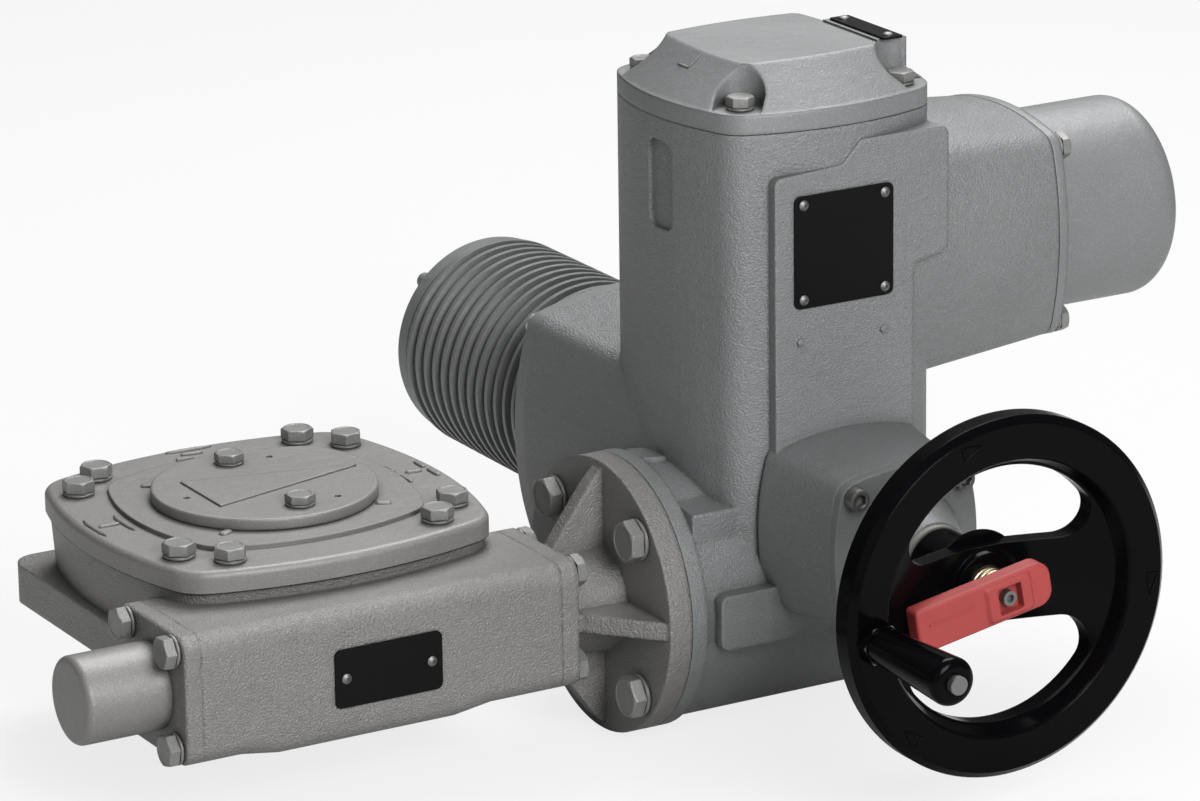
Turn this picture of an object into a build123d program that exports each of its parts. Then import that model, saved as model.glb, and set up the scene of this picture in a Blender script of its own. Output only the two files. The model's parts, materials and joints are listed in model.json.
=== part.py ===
"""Electric multi-turn valve actuator on a quarter-turn worm gearbox, in millimetres.

The origin is the centre of the valve mounting face under the gearbox. X runs along the gearbox
worm towards the actuator, the handwheel is on the -Y side, the motor on the +Y side, Z is up.
"""
import os
from math import atan, cos, degrees, pi, radians, sin, sqrt, tan

from build123d import *

os.makedirs("parts", exist_ok=True)

# Fits and clearances
running_fit = 0.05
side_play = 0.4

# Quarter-turn gearbox
gear_teeth = 53
gear_module = 2.4
centre_distance = 80.0
worm_z = 32.0
gear_face_width = 24.0
valve_flange_radius = 75.0
valve_flange_height = 22.0
valve_bolt_circle = 125.0
valve_thread_radius = 5.1
valve_thread_depth = 16.0
spigot_radius = 42.5
spigot_depth = 3.0
foot_half_x = 87.5
foot_half_y = 84.0
foot_thickness = 18.0
chamber_half = 85.0
chamber_bow = 217.0
chamber_corner = 20.0
chamber_radius = 71.0
chamber_floor = 8.0
seam_z = 66.0
cover_half = 87.0
cover_thickness = 10.0
cover_bolt_far = 67.0
cover_bolt_near = 50.6
plateau_half = 64.0
plateau_height = 2.0
pointer_radius = 50.5
pointer_thickness = 5.0
pointer_bolt_reach = 34.7
pointer_arrow_half = 20.0
pointer_arrow_base = -31.5
pointer_arrow_tip = 46.0
coupling_radius = 25.0
stem_bore_radius = 14.0
stem_bore_depth = 46.0
hub_radius = 50.0
lower_journal_radius = 36.0
upper_journal_radius = 40.0
bush_wall = 5.0
bush_height = 11.0
pointer_arrow_height = 0.8
tooth_gap_share = 0.15

# Gearbox worm box and its end covers
box_end = 87.5
box_half_y = 32.0
box_half_z = 29.0
box_belly = 3.0
belly_span = (-50.0, 35.0)
belly_taper = 20.0
box_corner = 8.0
worm_bore_radius = 24.0
end_plate_thickness = 8.0
end_bolt_edge = (10.0, 7.0)
worm_journal_radius = 12.0
worm_bearing_width = 14.0
cap_radius = 19.5
cap_wall = 3.0
cap_end = -134.8
stop_nut_width = 7.0
stop_nut_radius = 14.0
stop_screw_radius = 6.0
stub_length = 46.0

# Actuator joint flange
flange_left = 124.0
flange_seam = 135.0
flange_right = 143.0
flange_radius = 62.5
lug_span = (50.0, 10.0)
lug_rise = (47.0, 53.0)
rib_depth = 15.0
rib_drop = 21.5
flange_bolt_circle = 102.0
neck_start_radius = 22.0
neck_end_radius = 25.0
web_thickness = 8.0

# Actuator body
drive_x = 215.0
drive_z = 69.5
drive_teeth = 32
drive_module = 1.7125
drive_face_width = 12.0
column_half = 60.5
column_bow = 130.0
column_corner = 16.0
column_top = 247.0
column_floor = 112.0
column_bore_radius = 50.0
output_radius = 60.0
output_end = 268.0
output_bore_radius = 34.0
output_bore_end = 262.0
hollow_shaft_ends = (150.0, 258.0)
column_slot = (-85.0, 217.0, 18.0, 40.0)
casting_bar_place = (176.5, 32.5, 57.0, 25.0)
housing_half = 62.5
housing_bow = 165.0
housing_corner = 9.0
drive_bore_radius = 26.0
motor_joint_y = 38.0
drive_journal_radius = 9.0
drive_front = -150.0
drive_back = 28.0
drive_bearing_width = 12.0
front_bearing_y = -137.0
back_bearing_y = 10.0
pad_rise = 0.8
pad_left = 179.0
pad_right = 250.0
pad_far_right = 268.0
pad_levels = (60.0, 184.0, 228.0, 240.0)
boss_half = 42.0
boss_face_half = 36.5
boss_face_y = -185.0
hollow_shaft_radius = 20.0
hollow_bore_radius = 10.0
output_bearing_width = 12.0

# Switch compartment cover
lid_flange = 9.0
lid_rise = 17.5
lid_top_half = 37.0
lid_top_bow = 200.0
lid_bolt_half = 41.0
lid_pocket_radius = 11.0
ledge_x = 250.0
ledge_end_x = 264.0
ledge_half_y = 24.5
ledge_y = -91.5
ledge_plate = (10.0, 45.0, 1.0)
ledge_top = 275.5

# Plug connection
plug_z = 175.3
plug_face_half = 52.5
plug_box_end = 333.0
plug_flange = 5.0
plug_radius = 46.0
plug_bore_radius = 42.0
plug_box_root = 59.5
plug_box_start = 250.0
plug_end = 406.0
plug_bolt_half = 40.0

# Motor
motor_flange_end = 46.0
motor_fin_radius = 52.0
motor_core_radius = 46.5
motor_fin_count = 15
motor_end = 184.0
motor_bore_radius = 42.0
motor_wall = 12.0
motor_cap_y = 174.0
rotor_radius = 23.0
rotor_gap = (6.0, 10.0)
motor_shaft_radius = 6.0
motor_bearing_radius = 16.0
motor_bearing_width = 8.0

# Manual drive
side_plate_thickness = 5.0
side_plate_bolt_half = 27.0
neck_root_radius = 27.0
neck_tip_radius = 17.0
neck_tip_y = -212.0
hand_shaft_radius = 9.9
ring_thickness = 3.0
wheel_radius = 80.0
wheel_inner_radius = 61.0
wheel_front = -271.6
wheel_depth = 14.0
web_depth = 7.0
web_half_height = 17.5
web_fillet = 12.0
opening_radius = 57.0
hub_neck_radius = 15.5
hub_neck_end = -236.0
web_rim_front = -264.5
collar_radius = 15.0
collar_rise = 2.5
hub_outer_radius = 23.0
grip_offset = 68.5
grip_angle = 185.0
grip_radius = 10.5
grip_length = 54.0
lever_depth = 8.0
lever_reach = 46.0
lever_tail = 22.0
lever_half_height = 10.0
lever_tilt = 10.0
lever_boss = (24.0, 17.0, 1.5)
spring_radius = 9.0
spring_wire = 1.1
clutch_travel = 5.0
clutch_radius = 17.0
clutch_back = -141.0
clutch_width = 11.0
claw_height = 4.0
spindle_radius = 4.9
lever_plane_y = -262.0
wheel_hub_span = (-216.0, -250.0)
web_front = -251.0

# Nameplates
small_plate = (52.0, 26.5, 1.0)
small_plate_middle = (1.0, 30.2)
large_plate = (50.5, 50.5, 1.0)
large_plate_middle = (213.6, 193.7)
rivet_size = (2.3, 1.2)
rivet_reach = (20.8, 21.3)

gear_pitch_radius = gear_teeth * gear_module / 2
gear_worm_radius = centre_distance - gear_pitch_radius
worm_y = -centre_distance
cover_top = seam_z + cover_thickness
drive_pitch_radius = drive_teeth * drive_module / 2
drive_worm_radius = drive_z - worm_z - drive_pitch_radius
lid_bolt_z = column_top + lid_flange
pad_front = worm_y - column_half - pad_rise
coupling_start = spigot_depth + side_play
rotor_start = motor_joint_y + motor_wall + motor_bearing_width + rotor_gap[0]
rotor_end = motor_cap_y - rotor_gap[1]


def across(x):
    """Plane square to the gearbox worm at x, its normal pointing to +X, local x along Y."""
    return Plane(origin=(x, worm_y, worm_z), x_dir=(0, 1, 0), z_dir=(1, 0, 0))


def frontward(y):
    """Plane square to the drive worm at y, its normal pointing to -Y, local y along Z."""
    return Plane(origin=(drive_x, y, drive_z), x_dir=(1, 0, 0), z_dir=(0, -1, 0))


def plug_plane(x):
    """Plane square to the plug axis at x, its normal pointing to +X."""
    return Plane(origin=(x, worm_y, plug_z), x_dir=(0, 1, 0), z_dir=(1, 0, 0))


def column_plane(z):
    """Level plane on the actuator column axis at height z."""
    return Plane(origin=(drive_x, worm_y, z))


def save(piece, label):
    """Labels a finished piece and writes it as one file."""
    piece.part.label = label
    export_step(piece.part, f"parts/{label}.step")


def bowed_square(half, bow, corner):
    """Square outline with bulging sides: half is the reach at mid side, bow the side radius."""
    inner = bow - half
    reach = (sqrt(2 * bow**2 - inner**2) - inner) / 2
    with BuildSketch() as outline:
        with BuildLine():
            ThreePointArc((-reach, -reach), (0, -half), (reach, -reach))
            ThreePointArc((reach, -reach), (half, 0), (reach, reach))
            ThreePointArc((reach, reach), (0, half), (-reach, reach))
            ThreePointArc((-reach, reach), (-half, 0), (-reach, -reach))
        make_face()
        fillet(outline.vertices(), corner)
    return outline.sketch


def hex_bolt(thread_radius, across_flats, shank):
    """Hex bolt with a spring washer; the seat is z=0, the head above, the shank below."""
    washer_height = thread_radius * 0.4
    head_height = thread_radius * 1.3
    with BuildPart() as bolt:
        with BuildSketch():
            Circle(across_flats * 0.56)
        extrude(amount=washer_height)
        with BuildSketch(Plane.XY.offset(washer_height)):
            RegularPolygon(across_flats / 2, 6, major_radius=False)
        extrude(amount=head_height)
        with BuildSketch():
            Circle(thread_radius)
        extrude(amount=-shank)
    return bolt.part


def socket_screw(thread_radius, shank):
    """Socket-head cap screw; the seat is z=0, the head above with its hexagon recess."""
    head_radius = thread_radius * 1.65
    head_height = thread_radius * 2
    with BuildPart() as screw:
        with BuildSketch():
            Circle(head_radius)
        extrude(amount=head_height)
        with BuildSketch(Plane.XY.offset(head_height)):
            RegularPolygon(thread_radius * 0.85, 6, major_radius=False)
        extrude(amount=-thread_radius, mode=Mode.SUBTRACT)
        with BuildSketch():
            Circle(thread_radius)
        extrude(amount=-shank)
    return screw.part


def square(half, other=None):
    """Four places at the corners of a square or rectangle."""
    other = half if other is None else other
    return [(sx * half, sy * other) for sx in (-1, 1) for sy in (-1, 1)]


def circle(radius, count, start):
    """Places evenly spaced on a circle, the first at start degrees."""
    turns = [radians(start + 360 * k / count) for k in range(count)]
    return [(radius * cos(t), radius * sin(t)) for t in turns]


def drill(plane, places, radius, depth):
    """Drills the current piece at the places on the plane, against the plane's normal."""
    with Locations(plane):
        with Locations(*places):
            Hole(radius, depth)


def save_group(label, solid, plane, places):
    """Writes one solid repeated at the places on the plane as one node."""
    with BuildPart() as group:
        with Locations(plane):
            with Locations(*places):
                add(solid)
    save(group, label)


def ring(plane, outer, inner, width):
    """Plain ring from the plane along its normal."""
    with BuildPart() as band:
        with BuildSketch(plane):
            Circle(outer)
            Circle(inner, mode=Mode.SUBTRACT)
        extrude(amount=width)
    return band.part


def tooth_outline(teeth, module, gap, turn=0.0):
    """Gear outline of straight-flanked teeth, thinned by gap at the pitch circle."""
    pitch = teeth * module / 2
    tip, root = pitch + 0.85 * module, pitch - 1.1 * module
    half_thickness = (pi * module / 2 - gap) / 2
    flank = tan(radians(20))
    points = []
    for k in range(teeth):
        middle = 2 * pi * k / teeth + radians(turn)
        for radius, side in ((root, -1), (tip, -1), (tip, 1), (root, 1)):
            half = half_thickness - (radius - pitch) * flank
            angle = middle + side * half / radius
            points.append((radius * cos(angle), radius * sin(angle)))
    with BuildSketch() as outline:
        with BuildLine():
            Polyline(*points, close=True)
        make_face()
    return outline.sketch


def toothed_rim(middle, teeth, module, worm_radius, width, phase, bore):
    """Worm wheel rim about the plane, its teeth leaning with a right-hand worm thread."""
    lean = degrees(module / (2 * worm_radius) * width / (teeth * module))
    with BuildPart() as rim:
        with BuildSketch(middle.offset(-width / 2)):
            add(tooth_outline(teeth, module, module * tooth_gap_share, phase - lean))
        with BuildSketch(middle.offset(width / 2)):
            add(tooth_outline(teeth, module, module * tooth_gap_share, phase + lean))
        loft(ruled=True)
        with BuildSketch(middle.offset(-width / 2)):
            Circle(bore)
        extrude(amount=width, mode=Mode.SUBTRACT)
    return rim.part


def worm_thread(pitch_radius, module, length, gap):
    """Worm core with one right-hand thread along Z, centred on the origin."""
    lead = pi * module
    core = pitch_radius - 1.1 * module
    tip = pitch_radius + 0.85 * module
    half_root = (lead / 2 - gap) / 2 + 1.1 * module * tan(radians(20))
    half_tip = (lead / 2 - gap) / 2 - 0.85 * module * tan(radians(20))
    sunk = core - 0.3
    with BuildPart() as worm:
        with BuildLine() as path:
            Helix(pitch=lead, height=length, radius=pitch_radius, center=(0, 0, -length / 2))
        with BuildSketch(Plane(origin=path.line @ 0, x_dir=(1, 0, 0), z_dir=path.line % 0)) as tooth:
            with BuildLine():
                Polyline(
                    (sunk - pitch_radius, -half_root),
                    (tip - pitch_radius, -half_tip),
                    (tip - pitch_radius, half_tip),
                    (sunk - pitch_radius, half_root),
                    close=True,
                )
            make_face()
        sweep(path=path.line, is_frenet=True)
        Cylinder(core, length + 2 * module)
    return worm.part


# Bolted joints: the plane of the bolt seats, its normal towards the heads, and the places on it
cover_seat = Plane.XY.offset(cover_top)
cover_places = square(cover_bolt_far, cover_bolt_near) + square(cover_bolt_near, cover_bolt_far)
pointer_seat_z = cover_top + plateau_height + side_play + pointer_thickness
pointer_seat = Plane.XY.offset(pointer_seat_z)
pointer_places = [(0, -pointer_bolt_reach), (0, pointer_bolt_reach)]
plate_seat = Plane(
    origin=(-box_end - end_plate_thickness, worm_y, worm_z), x_dir=(0, -1, 0), z_dir=(-1, 0, 0)
)
input_seat = across(box_end + end_plate_thickness)
end_places = square(box_half_y - end_bolt_edge[0], box_half_z - end_bolt_edge[1])
joint_seat = Plane(origin=(flange_left, worm_y, worm_z), x_dir=(0, -1, 0), z_dir=(-1, 0, 0))
joint_places = circle(flange_bolt_circle / 2, 4, 45)
lid_seat = column_plane(lid_bolt_z)
lid_places = square(lid_bolt_half)
plug_seat = plug_plane(plug_box_end + plug_flange)
plug_places = square(plug_bolt_half)
side_seat = frontward(boss_face_y - side_plate_thickness)
side_places = square(side_plate_bolt_half)
motor_bolt_half = housing_half * 0.76
motor_seat = Plane(origin=(drive_x, motor_flange_end, drive_z), x_dir=(-1, 0, 0), z_dir=(0, 1, 0))
motor_places = square(motor_bolt_half)

cover_thread, end_thread, joint_thread, lid_thread, small_thread = 4.0, 4.0, 5.0, 3.5, 3.0
cover_shank, end_shank, joint_shank, lid_shank, plug_shank = 20.0, 18.0, 24.0, 22.0, 16.0

# Gearbox housing: valve flange, foot, wheel chamber and worm box in one casting
with BuildPart() as gearbox_housing:
    with BuildSketch():
        Circle(valve_flange_radius)
    extrude(amount=valve_flange_height)
    with BuildSketch(Plane.XY.offset(valve_flange_height)) as foot:
        with Locations((0, (foot_half_y - centre_distance) / 2)):
            Rectangle(2 * foot_half_x, foot_half_y + centre_distance)
        fillet(foot.vertices(), 12)
    extrude(amount=foot_thickness)
    with BuildSketch(Plane.XY.offset(valve_flange_height)):
        add(bowed_square(chamber_half - 3, chamber_bow, chamber_corner))
    with BuildSketch(Plane.XY.offset(seam_z)):
        add(bowed_square(chamber_half, chamber_bow, chamber_corner))
    loft()
    with BuildSketch(across(-box_end)):
        RectangleRounded(2 * box_half_y, 2 * box_half_z, box_corner)
    extrude(amount=2 * box_end)
    belly_start, belly_end = across(belly_span[0]), across(belly_span[1])
    for near, far in ((belly_start.offset(-belly_taper), belly_start), (belly_end.offset(belly_taper), belly_end)):
        with BuildSketch(near):
            RectangleRounded(2 * box_half_y - 0.4, 2 * box_half_z - 0.4, box_corner)
        with BuildSketch(far):
            with Locations((0, -box_belly)):
                RectangleRounded(2 * box_half_y - 0.4, 2 * box_half_z - 0.4, box_corner)
        loft()
    with BuildSketch(belly_start):
        with Locations((0, -box_belly)):
            RectangleRounded(2 * box_half_y - 0.4, 2 * box_half_z - 0.4, box_corner)
    extrude(amount=belly_span[1] - belly_span[0])
    with BuildSketch(Plane.XY.offset(seam_z)):
        Circle(chamber_radius)
    extrude(amount=chamber_floor + bush_height - seam_z, mode=Mode.SUBTRACT)
    with BuildSketch(Plane.XY.offset(chamber_floor)):
        Circle(lower_journal_radius + bush_wall)
    extrude(amount=bush_height, mode=Mode.SUBTRACT)
    with BuildSketch(across(-box_end)):
        Circle(worm_bore_radius)
    extrude(amount=2 * box_end, mode=Mode.SUBTRACT)
    with BuildSketch():
        Circle(spigot_radius)
    extrude(amount=spigot_depth, mode=Mode.SUBTRACT)
    with BuildSketch():
        Circle(coupling_radius + 2)
    extrude(amount=chamber_floor, mode=Mode.SUBTRACT)
    with BuildSketch():
        with Locations(*circle(valve_bolt_circle / 2, 4, 45)):
            Circle(valve_thread_radius)
    extrude(amount=valve_thread_depth, mode=Mode.SUBTRACT)
    drill(cover_seat, cover_places, cover_thread + running_fit, cover_shank + 1)
    drill(plate_seat, end_places, end_thread + running_fit, end_shank + 1)
    drill(input_seat, end_places, end_thread + running_fit, end_shank + 1)
save(gearbox_housing, "gearbox_housing")

# Gearbox cover: bowed plate with a raised plateau and a bore for the indicator hub
with BuildPart() as gearbox_cover:
    with BuildSketch(Plane.XY.offset(seam_z)):
        add(bowed_square(cover_half, chamber_bow, chamber_corner))
    extrude(amount=cover_thickness)
    fillet(gearbox_cover.faces().sort_by(Axis.Z)[-1].edges(), 3)
    with BuildSketch(Plane.XY.offset(cover_top)):
        add(bowed_square(plateau_half, chamber_bow * 0.55, chamber_corner * 0.8))
    extrude(amount=plateau_height)
    with BuildSketch(Plane.XY.offset(seam_z)):
        Circle(upper_journal_radius + bush_wall)
    extrude(amount=cover_thickness + plateau_height, mode=Mode.SUBTRACT)
    drill(cover_seat, cover_places, cover_thread + running_fit, cover_shank + 1)
save(gearbox_cover, "gearbox_cover")
save_group("cover_bolts", hex_bolt(cover_thread, 13, cover_shank), cover_seat, cover_places)

# Position pointer: disc with a raised arrow, bolted to the wheel hub
with BuildPart() as position_pointer:
    with BuildSketch(Plane.XY.offset(pointer_seat_z)):
        Circle(pointer_radius)
    extrude(amount=-pointer_thickness)
    fillet(position_pointer.faces().sort_by(Axis.Z)[-1].edges(), 1)
    with BuildSketch(pointer_seat):
        Polygon(
            (pointer_arrow_base, -pointer_arrow_half),
            (pointer_arrow_tip, 0),
            (pointer_arrow_base, pointer_arrow_half),
            align=None,
        )
    extrude(amount=pointer_arrow_height)
    drill(pointer_seat, circle(38.4, 3, 60), 1.5, 3)
    drill(pointer_seat, pointer_places, small_thread + running_fit, pointer_thickness)
save(position_pointer, "position_pointer")
save_group("pointer_bolts", hex_bolt(small_thread, 12, 12), pointer_seat, pointer_places)

# Wheel hub: two journals, the toothed rim's seat and the splined sleeve's bore
with BuildPart() as wheel_hub:
    with BuildSketch(Plane.XZ):
        with BuildLine():
            Polyline(
                (coupling_radius + running_fit, chamber_floor + side_play),
                (lower_journal_radius, chamber_floor + side_play),
                (lower_journal_radius, worm_z - gear_face_width / 2),
                (hub_radius, worm_z - gear_face_width / 2),
                (hub_radius, worm_z + gear_face_width / 2),
                (upper_journal_radius, worm_z + gear_face_width / 2 + 4),
                (upper_journal_radius, pointer_seat_z - pointer_thickness),
                (10, pointer_seat_z - pointer_thickness),
                (10, stem_bore_depth + 6),
                (coupling_radius + running_fit, stem_bore_depth + 6),
                close=True,
            )
        make_face()
    revolve(axis=Axis.Z)
    drill(Plane.XY.offset(pointer_seat_z - pointer_thickness), pointer_places, small_thread + running_fit, 9)
save(wheel_hub, "wheel_hub")

# Worm wheel rim: 53 teeth, a gap facing the worm
rim_place = Plane.XY.offset(worm_z)
with BuildPart() as worm_wheel:
    add(
        toothed_rim(
            rim_place,
            gear_teeth,
            gear_module,
            gear_worm_radius,
            gear_face_width,
            -90 - 180 / gear_teeth,
            hub_radius,
        )
    )
save(worm_wheel, "worm_wheel")

# Valve coupling: sleeve carried in the hub, bored and keyed for the valve stem
with BuildPart() as valve_coupling:
    with BuildSketch(Plane.XY.offset(coupling_start)):
        Circle(coupling_radius)
    extrude(amount=stem_bore_depth + 6 - coupling_start)
    with BuildSketch():
        Circle(stem_bore_radius)
    extrude(amount=stem_bore_depth, mode=Mode.SUBTRACT)
    with BuildSketch():
        with Locations((0, stem_bore_radius)):
            Rectangle(8, 6)
    extrude(amount=stem_bore_depth, mode=Mode.SUBTRACT)
save(valve_coupling, "valve_coupling")

with BuildPart() as wheel_bushes:
    add(
        ring(
            Plane.XY.offset(chamber_floor),
            lower_journal_radius + bush_wall,
            lower_journal_radius + running_fit,
            bush_height,
        )
    )
    add(
        ring(
            Plane.XY.offset(seam_z),
            upper_journal_radius + bush_wall,
            upper_journal_radius + running_fit,
            cover_thickness + plateau_height,
        )
    )
save(wheel_bushes, "wheel_bushes")

# Gearbox worm shaft: thread, two journals, the stop screw at the left and the input stub at the right
gear_worm_length = 8 * pi * gear_module
gear_worm = worm_thread(gear_worm_radius, gear_module, gear_worm_length, gear_module * tooth_gap_share)
worm_shoulder = box_end - worm_bearing_width
with BuildPart() as worm_shaft:
    with Locations(across(0)):
        add(gear_worm)
    with BuildSketch(across(side_play - worm_shoulder)):
        Circle(worm_journal_radius + 2)
    extrude(amount=2 * (worm_shoulder - side_play))
    with BuildSketch(across(-box_end - end_plate_thickness)):
        Circle(worm_journal_radius)
    extrude(amount=box_end + end_plate_thickness + flange_left)
    with BuildSketch(across(cap_end + cap_wall + 2)):
        Circle(stop_screw_radius)
    extrude(amount=-cap_end)
    with BuildSketch(across(flange_left)):
        Circle(hollow_bore_radius - running_fit)
    extrude(amount=stub_length)
save(worm_shaft, "worm_shaft")

with BuildPart() as worm_bearings:
    for x in (-box_end, worm_shoulder):
        add(ring(across(x), worm_bore_radius, worm_journal_radius + running_fit, worm_bearing_width))
save(worm_bearings, "worm_bearings")

# Left end plate with the bore of the stop screw, and the protective cap over it
with BuildPart() as end_plate:
    with BuildSketch(plate_seat.offset(-end_plate_thickness)):
        RectangleRounded(2 * box_half_y, 2 * box_half_z, box_corner)
    extrude(amount=end_plate_thickness)
    with BuildSketch(plate_seat):
        Circle(worm_journal_radius + side_play)
    extrude(amount=-end_plate_thickness, mode=Mode.SUBTRACT)
    drill(plate_seat, end_places, end_thread + running_fit, end_shank)
    fillet(end_plate.faces().sort_by(Axis.X)[0].outer_wire().edges(), 1.5)
save(end_plate, "end_plate")

with BuildPart() as stop_cap:
    with BuildSketch(plate_seat):
        Circle(cap_radius)
    extrude(amount=-cap_end - box_end - end_plate_thickness)
    fillet(stop_cap.faces().sort_by(Axis.X)[0].edges(), 3)
    with BuildSketch(plate_seat):
        Circle(cap_radius - cap_wall)
    extrude(amount=-cap_end - box_end - end_plate_thickness - cap_wall, mode=Mode.SUBTRACT)
save(stop_cap, "stop_cap")

# Travelling nut: runs along the stop screw and ends the stroke at each end of the cap
with BuildPart() as stop_nut:
    with BuildSketch(plate_seat.offset(2)):
        Circle(stop_nut_radius)
        Circle(stop_screw_radius + 2 * running_fit, mode=Mode.SUBTRACT)
        with Locations((0, stop_nut_radius), (0, -stop_nut_radius)):
            Rectangle(5, 3, mode=Mode.SUBTRACT)
    extrude(amount=stop_nut_width)
save(stop_nut, "stop_nut")
end_bolt = hex_bolt(end_thread, 13, end_shank)
save_group("end_plate_bolts", end_bolt, plate_seat, end_places)

# Input flange: box cover, neck, four triangular webs and the bolting disc
with BuildPart() as input_flange:
    with BuildSketch(across(box_end)):
        RectangleRounded(2 * box_half_y, 2 * box_half_z, box_corner)
    extrude(amount=end_plate_thickness)
    with BuildSketch(across(box_end)):
        Circle(neck_start_radius)
    with BuildSketch(across(flange_left)):
        Circle(neck_end_radius)
    loft()
    with BuildSketch(across(flange_left)):
        Circle(flange_radius)
    extrude(amount=flange_seam - flange_left)
    for turn, reach in ((0, box_half_y), (90, box_half_z), (180, box_half_y), (270, box_half_z)):
        web = Plane(
            origin=(0, worm_y, worm_z),
            x_dir=(1, 0, 0),
            z_dir=(0, sin(radians(turn)), -cos(radians(turn))),
        )
        with BuildSketch(web):
            with BuildLine():
                Polyline(
                    (box_end + end_plate_thickness - 1, 0),
                    (box_end + end_plate_thickness - 1, reach - 2),
                    (box_end + end_plate_thickness + 3, reach - 2),
                    (flange_left - 6, flange_radius - 9),
                    (flange_left + 1, flange_radius - 1.5),
                    (flange_left + 1, 0),
                    close=True,
                )
            make_face()
        extrude(amount=web_thickness / 2, both=True)
    with BuildSketch(across(box_end)):
        Circle(worm_journal_radius + side_play)
    extrude(amount=flange_seam - box_end, mode=Mode.SUBTRACT)
    drill(input_seat, end_places, end_thread + running_fit, end_shank)
    drill(joint_seat, joint_places, joint_thread + running_fit, joint_shank)
save(input_flange, "input_flange")
save_group("input_flange_bolts", end_bolt, input_seat, end_places)
save_group("joint_bolts", hex_bolt(joint_thread, 17, joint_shank), joint_seat, joint_places)

# Actuator casting: joint disc, output cylinder, column, drive housing, hand drive boss and plug box
with BuildPart() as gear_housing:
    with BuildSketch(across(flange_seam)):
        Circle(flange_radius)
    extrude(amount=flange_right - flange_seam)
    with BuildSketch(across(flange_seam)):
        Circle(output_radius)
    extrude(amount=output_end - flange_seam)
    fillet(gear_housing.faces().sort_by(Axis.X)[-1].edges(), 3)
    rib_top = worm_z + flange_radius
    with BuildSketch(Plane.XZ.offset(-worm_y)):
        Polygon(
            (flange_right, worm_z),
            (flange_right, rib_top),
            (drive_x - column_half, rib_top - 1.5),
            (drive_x - column_half + rib_depth, rib_top - rib_drop),
            (drive_x - column_half + rib_depth, worm_z),
            align=None,
        )
    extrude(amount=web_thickness, both=True)
    with BuildSketch(across(flange_right)):
        Polygon(
            (-lug_span[0], 0),
            (-lug_span[0], lug_rise[0]),
            (-lug_span[1], lug_rise[1]),
            (-lug_span[1], 0),
            align=None,
        )
    extrude(amount=drive_x - column_half + rib_depth - flange_right)
    with BuildSketch(column_plane(worm_z)):
        add(bowed_square(column_half, column_bow, column_corner))
    extrude(amount=column_top - worm_z)
    with BuildSketch(frontward(worm_y)):
        add(bowed_square(housing_half, housing_bow, housing_corner))
    extrude(amount=worm_y - motor_joint_y)
    with BuildSketch(Plane.XZ.offset(-pad_front)) as pad:
        Polygon(
            (pad_left, pad_levels[0]),
            (pad_left, pad_levels[2]),
            (drive_x - 2, pad_levels[2] + 2),
            (drive_x + 8, pad_levels[3]),
            (pad_far_right, pad_levels[3]),
            (pad_far_right, pad_levels[1]),
            (pad_right, pad_levels[1] - 4),
            (pad_right, pad_levels[0]),
            align=None,
        )
        fillet(pad.vertices(), 4)
    extrude(amount=-30)
    with BuildSketch(Plane.XZ.offset(-pad_front + 4.7)) as casting_bar:
        with Locations(casting_bar_place[:2]):
            Rectangle(*casting_bar_place[2:])
        fillet(casting_bar.vertices(), 4)
    extrude(amount=-20)
    with BuildSketch(frontward(pad_front + 5)):
        add(bowed_square(boss_half + 0.6, 120, 10))
    with BuildSketch(frontward(boss_face_y)):
        add(bowed_square(boss_face_half, 110, 9))
    loft()
    with BuildSketch(plug_plane(plug_box_start)):
        add(bowed_square(plug_box_root, 150, 12))
    with BuildSketch(plug_plane(plug_box_end)):
        add(bowed_square(plug_face_half, 140, 12))
    loft()
    with BuildSketch(Plane.XZ.offset(-pad_front)):
        with Locations((191.5, 153.4), (234.3, 152.8)):
            Circle(1.7)
    extrude(amount=1)
    with BuildSketch(Plane.YZ.offset(drive_x - column_half)) as slot:
        with Locations(column_slot[:2]):
            Rectangle(*column_slot[2:])
        fillet(slot.vertices(), 5)
    extrude(amount=1.8, mode=Mode.SUBTRACT)
    with BuildSketch(across(flange_seam)):
        Circle(output_bore_radius)
    extrude(amount=output_bore_end - flange_seam, mode=Mode.SUBTRACT)
    with BuildSketch(frontward(motor_joint_y)):
        Circle(drive_bore_radius)
    extrude(amount=motor_joint_y - boss_face_y, mode=Mode.SUBTRACT)
    with BuildSketch(column_plane(column_floor)):
        Circle(column_bore_radius)
    extrude(amount=column_top - column_floor, mode=Mode.SUBTRACT)
    with BuildSketch(plug_plane(plug_box_end)):
        Circle(plug_bore_radius)
    extrude(amount=drive_x + column_bore_radius - 8 - plug_box_end, mode=Mode.SUBTRACT)
    drill(joint_seat, joint_places, joint_thread + running_fit, joint_shank + 1)
    drill(lid_seat, lid_places, lid_thread + running_fit, lid_shank + 1)
    drill(plug_seat, plug_places, lid_thread + running_fit, plug_shank + 1)
    drill(side_seat, side_places, small_thread + running_fit, 14)
    drill(motor_seat, motor_places, small_thread + running_fit, 20)
save(gear_housing, "gear_housing")

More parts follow.
